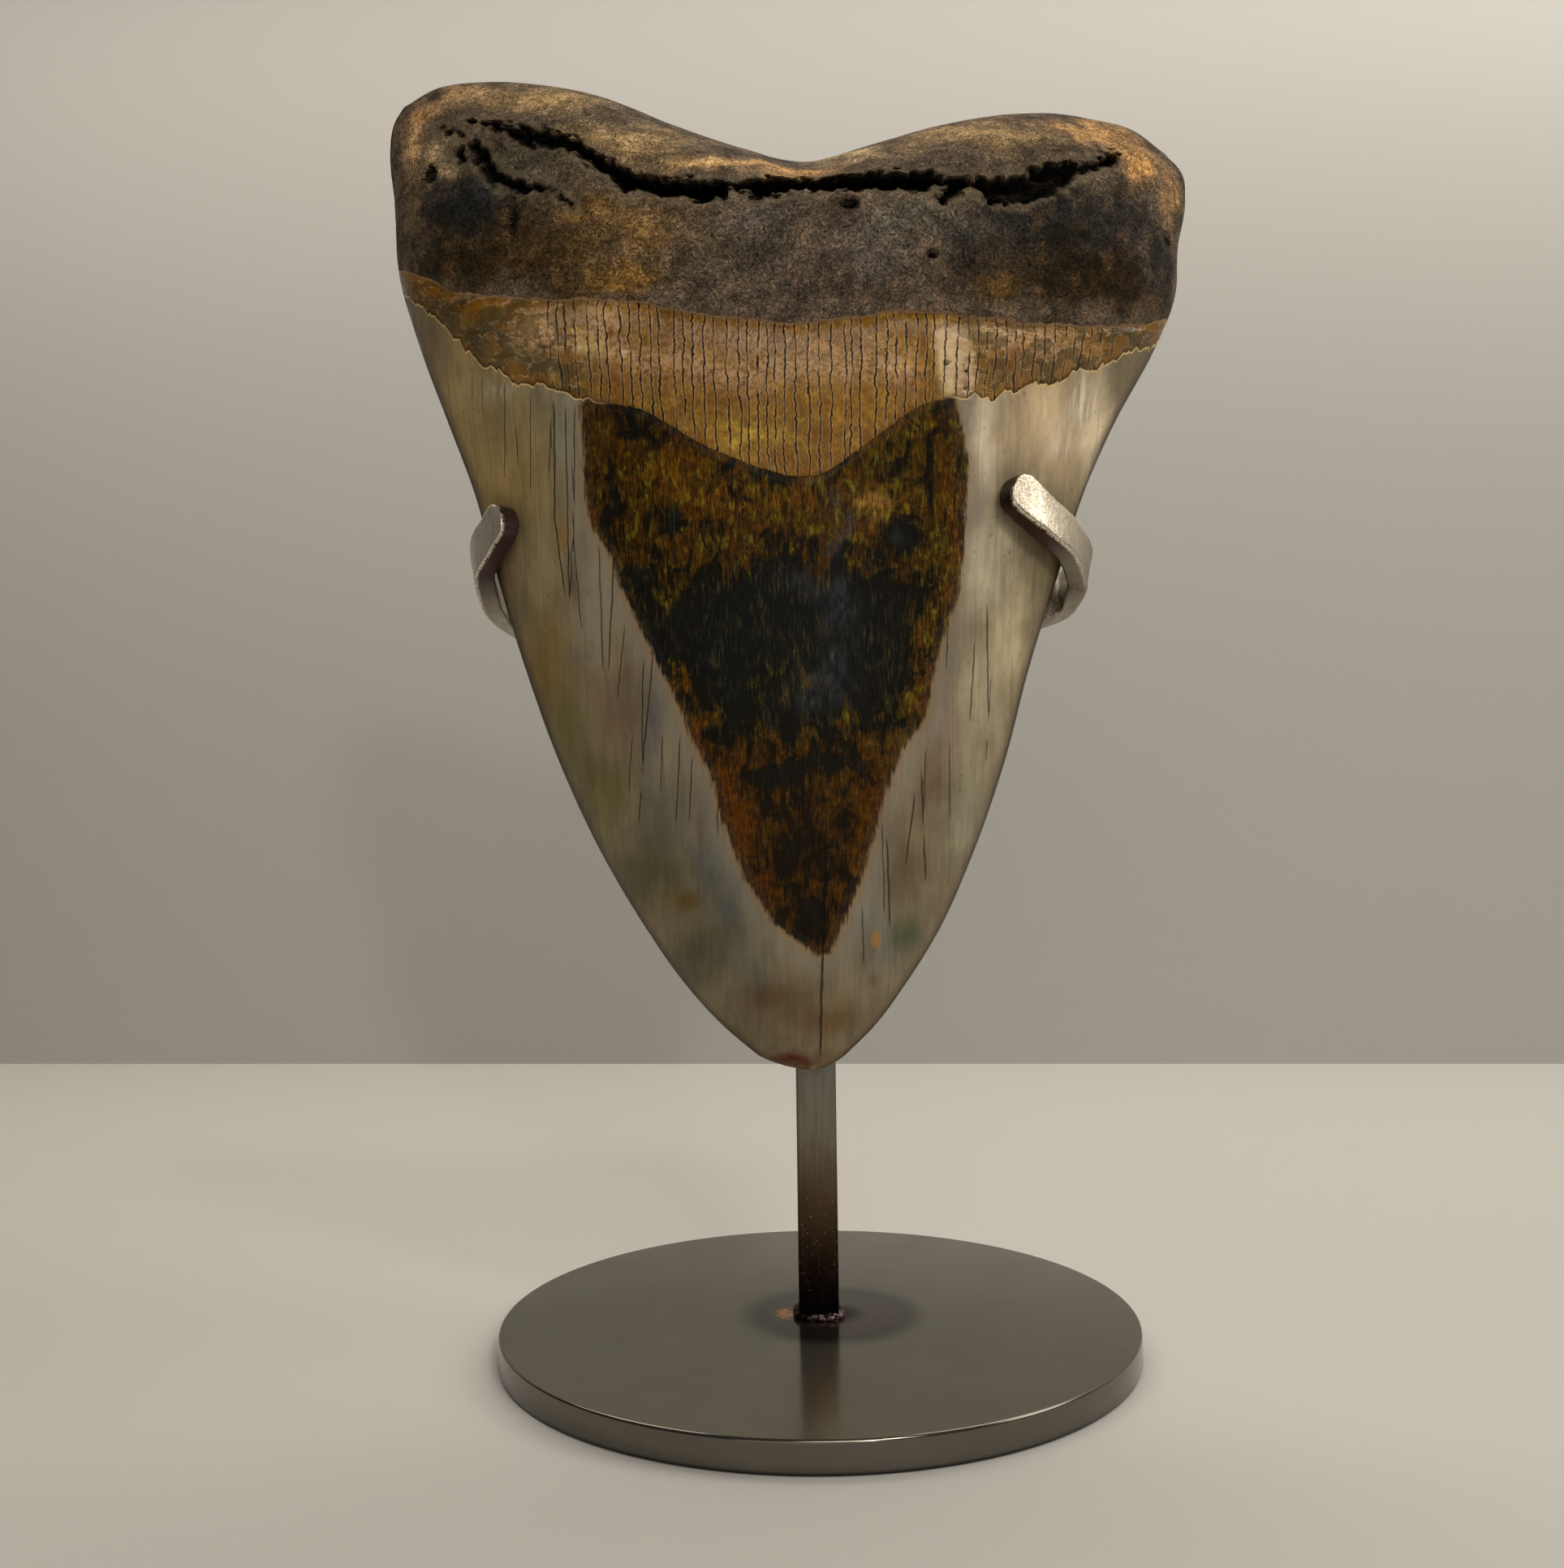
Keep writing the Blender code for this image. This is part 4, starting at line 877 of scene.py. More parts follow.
def thin_back(piece, share):
    """Decimate the faces that look backwards, well away from the edges."""
    pick(piece)
    bpy.ops.object.mode_set(mode="EDIT")
    bpy.ops.mesh.select_all(action="DESELECT")
    bpy.ops.object.mode_set(mode="OBJECT")
    cx, cy, cz = (read_faces(piece, "center") / MM).T
    behind = cy > (plain_front(cx, cz)[0] + plain_back(cx, cz)) / 2
    behind &= edge_distance(cx, cz) > BACK_BEGINS
    behind &= cz < smooth_through(ROOT_TOP, cx) - BACK_BEGINS
    behind &= read_faces(piece, "normal")[:, 1] > 0.3
    piece.data.polygons.foreach_set("select", behind)
    bpy.ops.object.mode_set(mode="EDIT")
    bpy.ops.mesh.decimate(ratio=share)
    bpy.ops.object.mode_set(mode="OBJECT")
    piece.select_set(False)


close_up(tooth, smooth_angle=55)
thin_back(tooth, BACK_SHARE)
triangles = sum(len(face.vertices) - 2 for face in tooth.data.polygons)
print("tooth skin:", triangles, "triangles")

# %% [markdown]
# ## The tooth: its finish
# The real thing is one piece and its regions run into each other. So each region is a recipe,
# from the polished enamel up to the felt-like root, and the distances stored above choose between
# them. The enamel has faint upright streaks, a polish and painted glints, the wedge is a mosaic of
# ochre fibres over blue-black with a painted reflection in places, the band is cut by dozens of
# wavering upright cracks and carries painted highlights, and the root is dull and made of short
# fibres. Painted shade darkens the cracks and pits, and painted highlights run along the cracks' lips.

# %% Enamel and wedge
def hairline_mask(finish):
    """1 inside the hairline cracks, drawn where the stored distance passes zero."""
    shift = (finish.noise((1.5, 4, 2.2), 1.0) - 0.5) * 0.35
    width = finish.stored("hairline_open")
    away = abs(finish.stored("hairline") + shift) - width * 0.42
    return away.band(-0.1, 0.06, 1, 0) * width.band(0.03, 0.16)


def enamel_layer(finish):
    """Colour, roughness and height of the polished enamel."""
    way = finish.wander(finish.where, 1.6, (9, 9, 14), 1.0)
    streak = finish.noise((0.7, 3, 16), 3.0, 0.6, way)
    cloud = finish.noise((6, 9, 11), 3.0, 0.6)
    speck = finish.noise((0.8, 0.8, 1.1), 1.0)
    rim, wedge, hair = finish.stored("rim"), finish.stored("wedge"), hairline_mask(finish)
    growth = finish.splits(way, 3.4).band(0.016, 0.052, 1, 0) * cloud.band(0.45, 0.62, 0, 0.3)
    colour = finish.stored("crown_tone", "Color").lighter(streak.band(0.3, 0.7, 1.1, 0.88))
    colour = colour.lighter(cloud.band(0.3, 0.7, 0.8, 1.16)).coats(
        (speck.band(0.66, 0.76, 0, 0.4), (100, 82, 52)),
        (growth, (88, 74, 54)),
        # A brown stain near the side edges, and painted shade right at them, where the blade turns away.
        (rim.band(0.3, 2.0, 0.6, 0), (84, 62, 42)),
        (rim.band(0.2, 0.8, 0.8, 0), (40, 35, 32)),
        (wedge.band(-5.0, -0.6, 0, 0.35), (140, 136, 126)),
        (wedge.band(-1.8, 0.2, 0, 0.4), (150, 110, 60)),
        # Painted highlight: near-white glints where the stored highlight lies.
        (finish.stored("painted_highlight") * streak.band(0.42, 0.6), (250, 240, 218)),
        (hair * 0.88, (34, 26, 18)))
    height = streak * 0.07 - hair * 0.12 + cloud * 0.25
    return colour, streak.band(0.3, 0.7, 0.26, 0.42), height


def wedge_layer(finish):
    """The mosaic of ochre fibres over blue-black, with a painted grey reflection in places."""
    fibre = finish.noise((0.3, 1.5, 3.2), 2.0, 0.6)
    strand = finish.noise((0.2, 2, 2.4), 2.0, 0.6)
    patch = finish.noise((3.0, 4, 4.6), 5.0, 0.72, distortion=0.8)
    flake = finish.noise((0.8, 2, 1.3), 3.0, 0.66)
    tint = finish.noise((1.1, 3, 2.2), 3.0, 0.6)
    wisps = finish.noise((0.9, 2, 2.4), 3.0, 0.65)
    height, gloom = finish.axis(2), finish.stored("gloom")
    dark = (patch * 2.1 + fibre * 0.8 + flake * 0.5 + gloom * 0.5).band(1.66, 2.0)
    dark = dark * height.band(86 * MM, 98 * MM, 0.9, 0.97)
    olive = tint.band(0.5, 0.66, 0, 0.45) * height.band(92 * MM, 104 * MM, 0.1, 1)
    ochre = finish.stored("wedge_tone", "Color").coats(
        (olive, (112, 102, 24)), (tint.band(0.34, 0.48, 0.25, 0), (100, 56, 4)))
    ochre = ochre.lighter(flake.band(0.36, 0.64, 0.55, 1.6))
    ochre = ochre.lighter(strand.band(0.32, 0.66, 0.55, 1.45))
    moss = strand.band(0.48, 0.64) * patch.band(0.4, 0.56, 0.75, 0.05)
    moss = moss * height.band(88 * MM, 100 * MM, 0.1, 1)
    black = finish.mix(gloom.band(0.5, 1.2), (9, 8, 2), (9, 12, 13)).coats((moss, (62, 62, 34)))
    # Painted reflection: a blue-grey haze of mirrored light in places.
    painted_reflection = finish.stored("painted_reflection") * wisps.band(0.38, 0.66, 0.1, 0.8)
    colour = ochre.coats((dark, black), (painted_reflection, (68, 72, 82)),
                         (hairline_mask(finish) * 0.9, (6, 6, 6)))
    return colour, flake.band(0.3, 0.7, 0.4, 0.6), fibre * 0.05


def in_wedge(finish):
    shift = (finish.noise((0.4, 1.5, 2.4), 3.0, 0.6) - 0.5) * 1.9
    return (finish.stored("wedge") + shift).band(-0.35, 0.35)


print("enamel and wedge recipes ready")

# %% Neck band and root
def band_layer(finish):
    """Glossy tan with painted highlights, cut by upright cracks that waver, flaked at both ends."""
    way = finish.wander(finish.where, 1.3, (2.6, 9, 3.4), 4.0)
    cracked = finish.axis(0, way).between(-40 * MM, -37 * MM, 44 * MM, 47 * MM)
    split = finish.splits(finish.wander(way, 0.5, (0.9, 3, 0.55), 2.0), 1.5)
    gaps = finish.noise((1.1, 6, 2.6), 2.0)
    mottle = finish.noise((3.0, 3, 2.2), 4.0, 0.68)
    grain = finish.noise((0.5, 0.8, 0.8), 3.0, 0.65)
    wrinkle = finish.noise((0.8, 1.5, 0.6), 3.0, 0.7)
    chips = finish.noise((3.4, 3, 1.9), 3.0, 0.52)
    flank, above = finish.stored("flank"), finish.stored("above_enamel")
    core = split.band(0.03, 0.0975, 1, 0) * gaps.band(0.32, 0.5, 0.2, 1) * cracked
    # The pale lines beside each crack are painted highlight on its raised lips.
    edges = split.band(0.12, 0.255, 1, 0) * (cracked * 0.25)
    bare = finish.stored("patch") + (mottle - 0.5) * 6
    # Painted highlights: a sheen where the stored highlight lies, and glinting lines on the flakes.
    painted_sheen = finish.stored("painted_highlight") * wrinkle.band(0.38, 0.58, 0.05, 0.95)
    painted_light = flank * chips.thread(0.012) * wrinkle.band(0.42, 0.56)
    shadow = above.between(-0.05, 0.1, 0.2, 0.7) * finish.blend(flank, 0.15, 0.6)
    colour = finish.stored("band_tone", "Color").coats(
        (mottle.band(0.5, 0.64, 0, 0.75), (128, 76, 6)))
    colour = colour.lighter(mottle.band(0.34, 0.5, 1.45, 0.95))
    colour = colour.lighter(finish.blend(flank * 0.8, grain.band(0.32, 0.68, 0.74, 1.32), 1))
    colour = colour.coats(
        (bare.band(-0.7, 1.1, 0, 0.85), (238, 206, 166)),
        (edges, (222, 184, 130)),
        (painted_sheen, (230, 192, 154)),
        (core, (34, 17, 3)),
        (flank * chips.band(0.47, 0.57, 0, 0.55), (70, 62, 34)),
        (flank * chips.band(0.34, 0.46, 0.4, 0), (140, 92, 16)),
        (painted_light * 0.45, (250, 226, 180)),
        (shadow, (46, 36, 24)))
    height = mottle * 0.3 - core * 0.3 + edges * 0.08 + grain * 0.1
    return colour, mottle.band(0.35, 0.65, 0.18, 0.36), height


def root_layer(finish):
    """Felted fibres, mottled, and dull all over."""
    way = finish.wander(finish.where, 2.6, (1.8, 1.8, 1.8), 2.0)
    lying = finish.noise((1.0, 0.6, 0.36), 2.0, 0.65, way)
    rising = finish.noise((0.36, 0.6, 1.0), 2.0, 0.65, way)
    clump = finish.noise((3.4, 3.4, 2.8), 4.0, 0.66)
    tuft = finish.noise((0.5, 0.5, 0.42), 3.0, 0.7, way)
    hairs = lying.thread(0.1).math("MAXIMUM", rising.thread(0.1))
    colour = finish.stored("root_tone", "Color").lighter(clump.band(0.34, 0.66, 0.6, 1.38))
    colour = colour.coats((clump.band(0.52, 0.68, 0, 0.12), (158, 106, 44)))
    colour = colour.lighter(hairs.band(0, 1, 0.55, 1.65)).lighter(tuft.band(0.36, 0.64, 0.6, 1.5))
    # Painted highlight: a pale line along the lips of the cracks.
    colour = colour.coats((finish.stored("painted_crack_lip_highlight") * 0.4, (176, 156, 124)))
    return colour, 0.92, hairs * 0.14 + tuft * 0.3 + clump * 0.5


print("band and root recipes ready")

# %% [markdown]
# ## The tooth: choosing the finish face by face
# A material that holds all four regions would work everywhere, but a render would then reckon
# every pattern at every point. So each region gets a material of its own, and only the faces
# along a border use the one that holds all four. That strip is narrow along the enamel's edge,
# where a different gleam would show. The patterns are fixed in space, so they run on unbroken
# from one material to the next.

# %% Finish of the tooth
BORDER_MARGIN = 0.7             # millimetres from a border, where a face still holds all four
ENAMEL_CLEAR = 0.12             # the same along the enamel's sharp edge, beside wedge and band
RECIPES = {"enamel": (enamel_layer, None),
           "wedge": (wedge_layer, in_wedge),
           "band": (band_layer, lambda f: f.stored("above_enamel").band(-0.1, 0.1)),
           "root": (root_layer, lambda f: f.stored("above_neck").band(-0.15, 0.2))}
FINISHES = (("fossil_enamel", ("enamel",), 0.3), ("fossil_wedge", ("wedge",), 0.1),
            ("fossil_band", ("band",), 0.32), ("fossil_root", ("root",), 0.12),
            ("fossil_borders", tuple(RECIPES), 0.2))


def tooth_finish(name, regions, gleam):
    """A material for some of the regions; each later one covers the earlier ones."""
    finish = Finish(name)
    colour, rough, height = RECIPES[regions[0]][0](finish)
    for region in regions[1:]:
        layer, mask = RECIPES[region]
        share = mask(finish)
        over_colour, over_rough, over_height = layer(finish)
        colour = colour.coats((share, over_colour))
        rough = finish.blend(share, rough, over_rough)
        height = finish.blend(share, height, over_height)
    if len(regions) > 1:
        # Painted highlights: a pale line on the lip at the neck, and a golden glint on the enamel's edge.
        painted_neck_lip_highlight = finish.stored("above_neck").between(-0.18, 0.0, 0.04, 0.24)
        painted_glint = finish.stored("above_enamel").between(-0.3, -0.1, -0.02, 0.08)
        colour = colour.coats((painted_neck_lip_highlight * 0.7, (206, 168, 128)),
                              (painted_glint * finish.stored("flank") * 0.8, (236, 204, 140)))
    if regions[-1] in ("band", "root"):
        # Painted shade: cracks and pits near black inside, over dark rock, and shaded round their mouths.
        opening = finish.stored("opening") + (finish.noise((1.1, 0.9, 0.6), 4.0, 0.75) - 0.5) * 3
        sunk = opening.band(-0.6, 0.1, 0, 0.45).math("MAXIMUM", opening.band(-0.12, 0.22))
        loose = finish.noise((1.3, 0.8, 0.3), 3.0, 0.7)
        shallow = finish.stored("shallow") * loose.band(0.3, 0.6, 0.3, 1)
        inside = finish.mix(loose.band(0.44, 0.62), (9, 8, 9), (62, 54, 46))
        colour = colour.coats((sunk, inside.coats((shallow, (54, 49, 46)))))
        rough = finish.blend(sunk, rough, 1.0)
    return finish.dress(colour, rough, height, Specular_IOR_Level=gleam)


def share_out_faces(piece):
    """Give each face the material of its region, or the last one near a border."""
    mesh = piece.data
    corners = np.zeros(len(mesh.loops), np.int32)
    mesh.loops.foreach_get("vertex_index", corners)
    starts = np.zeros(len(mesh.polygons), np.int32)
    mesh.polygons.foreach_get("loop_start", starts)
    lowest, highest = {}, {}
    for field in ("above_neck", "above_enamel", "wedge"):
        values = np.zeros(len(mesh.vertices), np.float32)
        mesh.attributes[field].data.foreach_get("value", values)
        lowest[field] = np.minimum.reduceat(values[corners], starts)
        highest[field] = np.maximum.reduceat(values[corners], starts)
    deep = BORDER_MARGIN + 0.4
    slot = np.full(len(starts), len(FINISHES) - 1, np.int32)
    slot[(highest["above_enamel"] < -BORDER_MARGIN) & (highest["wedge"] < -deep)] = 0
    slot[(highest["above_enamel"] < -ENAMEL_CLEAR) & (lowest["wedge"] > deep)] = 1
    slot[(lowest["above_enamel"] > ENAMEL_CLEAR) & (highest["above_neck"] < -BORDER_MARGIN)] = 2
    slot[lowest["above_neck"] > BORDER_MARGIN] = 3
    mesh.polygons.foreach_set("material_index", slot)
    mesh.update()
    return np.bincount(slot, minlength=len(FINISHES))


for name, regions, gleam in FINISHES:
    tooth.data.materials.append(tooth_finish(name, regions, gleam))
print("faces of enamel, wedge, band, root and borders:", share_out_faces(tooth).tolist())
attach(tooth, "root")
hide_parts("tooth")

# %% [markdown]
# ## The base plate
# The base is a disc sawn from 3/16 in plate, its rim eased with a file and its face left satin.
# A cylinder primitive gives the disc, and a bevel on its two round edges eases the rim.

# %% Base plate
PLATE_RADIUS = 50.8
PLATE_THICKNESS = 4.76
PLATE_EASING = 0.45
SHARP_ANGLE = 30


def bevel_edges(piece, chosen, width, segments):
    """Bevel the edges that chosen(start, end) picks; both are points in millimetres."""
    pick(piece)
    bpy.ops.object.mode_set(mode="EDIT")
    bpy.ops.mesh.select_mode(type="EDGE")
    bpy.ops.mesh.select_all(action="DESELECT")
    bpy.ops.object.mode_set(mode="OBJECT")
    places = [vertex.co / MM for vertex in piece.data.vertices]
    for edge in piece.data.edges:
        edge.select = chosen(places[edge.vertices[0]], places[edge.vertices[1]])
    bpy.ops.object.mode_set(mode="EDIT")
    bpy.ops.mesh.bevel(offset=width * MM, segments=segments, affect="EDGES")
    bpy.ops.object.mode_set(mode="OBJECT")
    piece.select_set(False)


def settle(piece):
    """Put a primitive's place and size into its mesh, so that its object is at the origin."""
    pick(piece)
    bpy.ops.object.transform_apply(location=True, rotation=True, scale=True)


bpy.ops.mesh.primitive_cylinder_add(vertices=256, radius=PLATE_RADIUS * MM,
                                    depth=PLATE_THICKNESS * MM,
                                    location=(0, 0, PLATE_THICKNESS / 2 * MM))
plate = bpy.context.object
plate.name = plate.data.name = "round_base"
settle(plate)
bevel_edges(plate, lambda a, b: abs(a.z - b.z) < 0.01, PLATE_EASING, segments=4)
shade_smooth(plate, SHARP_ANGLE)
print("base plate:", len(plate.data.polygons), "faces")

# %% [markdown]
# ## The finish of the base plate
# Mild steel straight from the mill is grey with a hint of olive, and it mirrors softly. Its upper
# edge carries a painted highlight, and the foot of its rim painted shade. Around the weld the heat
# has left rings of brown and grey, with a rusty spot to the left of them, and wiping and sanding
# left faint clouds and fine lines.

# %% Satin steel
HEAT_MIDDLE = 2.2               # the heat rings lie a little to the right of the middle
RUST = (-5.5, 0.5, 1.7, 3.4)    # x, y and half sizes of the rusty spot

finish = Finish("satin_plate_steel")
east, north, up = (finish.axis(number) for number in range(3))
from_middle = (east * east + north * north).math("SQRT") / MM
off_middle = east - HEAT_MIDDLE * MM
heat = (off_middle * off_middle + north * north).math("SQRT") / MM
heat = heat + finish.noise((5, 5, 5)) * 2
cloud = finish.noise((16, 16, 16), 4.0, 0.6)
sand = finish.noise((7, 0.35, 3), 3.0, 0.6)
speck = finish.noise((0.5, 0.5, 0.5), 2.0)
burnt = heat.band(3.6, 7.4, 0.9, 0)
painted_rim_highlight = from_middle.band(50.1, 50.5) * up.band(4.2 * MM, 4.5 * MM)
rust_x = (east - RUST[0] * MM) / (RUST[2] * MM)
rust_y = (north - RUST[1] * MM) / (RUST[3] * MM)
rust = rust_x * rust_x + rust_y * rust_y + finish.noise((0.9, 0.5, 0.9)) * 3.4
colour = finish.mix(cloud.band(0.35, 0.7, 0, 0.5), (124, 120, 108), (106, 102, 90)).coats(
    (sand.band(0.3, 0.7, 0, 0.25), (104, 99, 86)),
    (speck.band(0.66, 0.76, 0, 0.35), (86, 76, 62)),
    (heat.band(12.4, 17.5, 0.8, 0), (38, 27, 18)),
    (heat.band(10.4, 12.2, 0.55, 0), (84, 76, 62)),
    (heat.between(8.2, 8.8, 9.0, 9.8) * 0.4, (50, 40, 33)),
    (burnt, (36, 27, 22)),
    (from_middle.band(50, 50.5) * 0.5, (92, 88, 84)),
    # Painted shade along the foot of the rim, next to the floor.
    (up.band(0.25 * MM, 0.8 * MM, 0.85, 0), (22, 20, 19)),
    # Painted highlight along the upper edge.
    (painted_rim_highlight * 0.3, (140, 134, 122)),
    (rust.band(1.8, 2.4, 1, 0), (210, 138, 74)))
rough = finish.blend(burnt, cloud.band(0.3, 0.7, 0.1, 0.17), 0.5)
skin = sand * 0.008 + speck * 0.004
plate.data.materials.append(finish.dress(colour, rough, skin, Metallic=0.86))
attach(plate, "root")
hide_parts("base_plate")
print("the heat rings lie", HEAT_MIDDLE, "mm to the right of the middle")

# %% [markdown]
# ## The post
# The post is a length of 1/4 in square bar with slightly rounded corners. A cube primitive is
# scaled to the bar, its four long edges and its top are bevelled, and it is cut into short
# lengths, so that none of its faces is a long sliver.

# %% Post
POST_SIDE = 6.35
POST_FOOT = 5.06
POST_TOP = 98.5
POST_EASING = 0.4
POST_PIECE = 4

bpy.ops.mesh.primitive_cube_add(size=1, location=(0, 0, (POST_FOOT + POST_TOP) / 2 * MM))
post = bpy.context.object
post.name = post.data.name = "square_post"
post.scale = (POST_SIDE * MM, POST_SIDE * MM, (POST_TOP - POST_FOOT) * MM)
settle(post)
bevel_edges(post, lambda a, b: abs(a.z - b.z) > 1 or min(a.z, b.z) > POST_TOP - 1, POST_EASING,
            segments=4)
pick(post)
bpy.ops.object.mode_set(mode="EDIT")
for height in np.arange(POST_FOOT + POST_PIECE, POST_TOP - 2, POST_PIECE):
    bpy.ops.mesh.select_all(action="SELECT")
    bpy.ops.mesh.bisect(plane_co=(0, 0, height * MM), plane_no=(0, 0, 1))
bpy.ops.object.mode_set(mode="OBJECT")
shade_smooth(post, SHARP_ANGLE)
print("post:", len(post.data.polygons), "faces")

# %% [markdown]
# ## The finish of the post
# The bar kept its dark mill skin. Near the foot the weld's heat turned it brown and then almost
# black, so its colour runs with height, broken up by upright streaks.

# %% Dark bar
finish = Finish("dark_post_steel")
height = finish.axis(2) / MM + finish.noise((2, 2, 5)) * 6
streak = finish.noise((0.5, 0.5, 9), 4.0, 0.65)
speck = finish.noise((0.45, 0.45, 0.7), 2.0)
colour = finish.mix(height.band(26, 40), (86, 70, 50), (122, 116, 100)).coats(
    (height.band(38, 52), (122, 119, 114)),
    (height.band(14, 29, 1, 0), (30, 19, 13)),
    (streak.band(0.4, 0.7, 0, 0.25), (62, 52, 44)),
    (speck.band(0.62, 0.74, 0, 0.5), (176, 160, 138)),
    (height.band(9.5, 16, 1, 0), (12, 10, 9)))
skin = streak * 0.03 + speck * 0.03
rough = speck.band(0.3, 0.7, 0.3, 0.5)
post.data.materials.append(finish.dress(colour, rough, skin, Metallic=1.0))
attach(post, "root")
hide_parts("post")
print("post dressed")

# %% [markdown]
# ## The weld beads
# A weld laid by hand is a row of overlapping puddles. Both beads are sheets rolled into a tube
# along a route: the lower one runs round the foot of the post, where the plate and the post meet,
# and the upper one climbs one side of the post's head behind the arms, crosses it and comes down
# the other side. Each puddle swells the tube a little and leaves a curved ripple.

# %% Beads
PUDDLE = 1.5                    # millimetres from one ripple to the next
UP, BACK = np.array([0.0, 0.0, 1.0]), np.array([0.0, 1.0, 0.0])


def unit(vectors):
    return vectors / np.linalg.norm(vectors, axis=1)[:, None]


def tube_form(route, radius, ripple, seed, closed):
    """A form for wrapped_sheet: a rippled tube along a route of (x, y, z) points."""
    route = np.array(route, float)
    lengths = np.linalg.norm(np.diff(route, axis=0), axis=1)
    travel = np.concatenate([[0], np.cumsum(lengths)])

    def place(at):
        return np.stack([np.interp(at, travel, route[:, k]) for k in range(3)], axis=1)

    def form(around, along):
        at = along * travel[-1]
        centre = place(at)
        reach = 0.4
        if closed:
            later, sooner = (at + reach) % travel[-1], (at - reach) % travel[-1]
        else:
            later, sooner = np.minimum(at + reach, travel[-1]), np.maximum(at - reach, 0)
        ahead = unit(place(later) - place(sooner))
        side = unit(np.cross(ahead, UP if closed else BACK))
        over = np.cross(side, ahead)
        angle = around * 2 * math.pi
        beats = round(travel[-1] / PUDDLE)
        wave = np.sin(along * beats * 2 * math.pi + 0.9 * np.cos(angle))
        size = radius * (1 + ripple * wave)
        if not closed:
            size = size * np.sqrt(np.clip(1 - (2 * along - 1) ** 24, 0, 1))
        surface = centre + size[:, None] * (np.cos(angle)[:, None] * side
                                            + np.sin(angle)[:, None] * over)
        push = 0.24 * bumps(surface, 1.0, seed, 3)
        if closed:
            push = push * np.clip(np.minimum(along, 1 - along) * 20, 0, 1)
        push = push * np.clip(size / radius, 0, 1)
        return surface + push[:, None] * (surface - centre) / np.maximum(size, 0.01)[:, None]

    return form


def squared_ring(reach, height, count=96):
    """A square with round corners, as a closed route."""
    route = []
    for k in range(count + 1):
        angle = 2 * math.pi * k / count
        along = (abs(math.cos(angle)) ** 6 + abs(math.sin(angle)) ** 6) ** (1 / 6)
        out = min(reach / along, reach * 1.2)
        route.append((out * math.cos(angle), out * math.sin(angle), height))
    return route


def head_route(side, back, low, crest, corner=1.6):
    """Up one side of the post's head, over it and down the other side."""
    climb = [(-side, back, low), (-side, back, crest - corner)]
    for k in range(1, 6):
        angle = math.pi / 2 * k / 6
        climb.append((-side + corner * (1 - math.cos(angle)), back,
                      crest - corner * (1 - math.sin(angle))))
    climb.append((-side + corner, back, crest))
    return climb + [(-px, py, pz) for px, py, pz in climb[::-1]]


foot_route = squared_ring(reach=3.25, height=5.1)
foot_form = tube_form(foot_route, radius=0.75, ripple=0.05, seed=3, closed=True)
foot_bead = wrapped_sheet("foot_bead", 24, 240, foot_form)
close_up(foot_bead, smooth_angle=60)
over_head = head_route(side=4.75, back=-1.5, low=93.6, crest=100.3)
head_form = tube_form(over_head, radius=1.45, ripple=0.1, seed=5, closed=False)
head_bead = wrapped_sheet("head_bead", 24, 160, head_form)
close_up(head_bead, smooth_angle=60)
print("beads:", len(foot_bead.data.polygons), "and", len(head_bead.data.polygons), "faces")

# %% [markdown]
# ## The finish of the beads
# Weld metal is silvery on its crests and black with scale in its valleys. One noise tells crest
# from valley and roughens the valleys, and a finer one adds pearls of bare metal. The bead round
# the foot shows crests and pearls on its right half only; its left half is painted dark, as shade.

# %% Weld metal
def weld_finish(name, silver, painted_light_from):
    """Scale with silvery crests, which begin at a given X; left of it all is painted dark, as shade."""
    finish = Finish(name)
    scale = finish.noise((1, 1, 1), 4.0, 0.6)
    # Painted light and shade: crests and pearls only right of the given X, painted dark left of it.
    painted_light = finish.axis(0).band(painted_light_from * MM, (painted_light_from + 4) * MM)
    pearl = painted_light * finish.noise((0.35, 0.35, 0.35), 2.0).band(0.58, 0.68, 0, 0.8)
    colour = finish.mix(painted_light * scale.band(0.42, 0.56), (30, 25, 23), silver)
    colour = colour.coats((pearl, (236, 222, 216)))
    rough = scale.band(0.35, 0.65, 0.6, 0.3)
    return finish.dress(colour, rough, scale * 0.2 + pearl * 0.06, Metallic=1.0)


for bead, node, silver, painted_light_from in ((foot_bead, "foot_weld", (104, 78, 84), -2.5),
                                     (head_bead, "arm_weld", (156, 148, 134), -20)):
    bead.data.materials.append(weld_finish(bead.name + "_metal", silver, painted_light_from))
    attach(bead, "root")
    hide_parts(node)
print("beads dressed")

# %% [markdown]
# ## The arms and their claws
# Each arm is a flat bar, bent outwards behind the tooth and then forwards round its edge, and its
# end is ground round to make a claw. A bent bar could be a straight one bent by a Curve modifier,
# but its flat side has to turn by known angles along the way, so the sheet is rolled into the
# bar's section and laid along the arm's middle line instead.

# %% Arms
ARM_WIDTH = 6.35
ARM_THICKNESS = 3.175
ARM_CORNER = 0.45
ARM_TIP_RADIUS = 2.8
ARM_Y = -5.0625
RIGHT_ARM = ((2.0, ARM_Y, 97.0, 0), (33.5, ARM_Y, 116.5, 0), (40.3, -6.1, 119.5, 22),
             (42.0, -9.6, 122.4, 14), (39.6, -15.6, 126.0, -4), (34.1, -21.5, 129.4, -9),
             (29.1, -24.5, 133.2, -3))
LEFT_ARM = ((-2.0, ARM_Y, 97.0, 0), (-39.0, ARM_Y, 114.4, 0), (-45.4, -5.6, 116.9, 10),
            (-49.8, -8.8, 120.2, 26), (-50.4, -13.5, 124.8, 5), (-47.6, -17.9, 128.2, -3),
            (-45.2, -20.3, 130.9, -8))


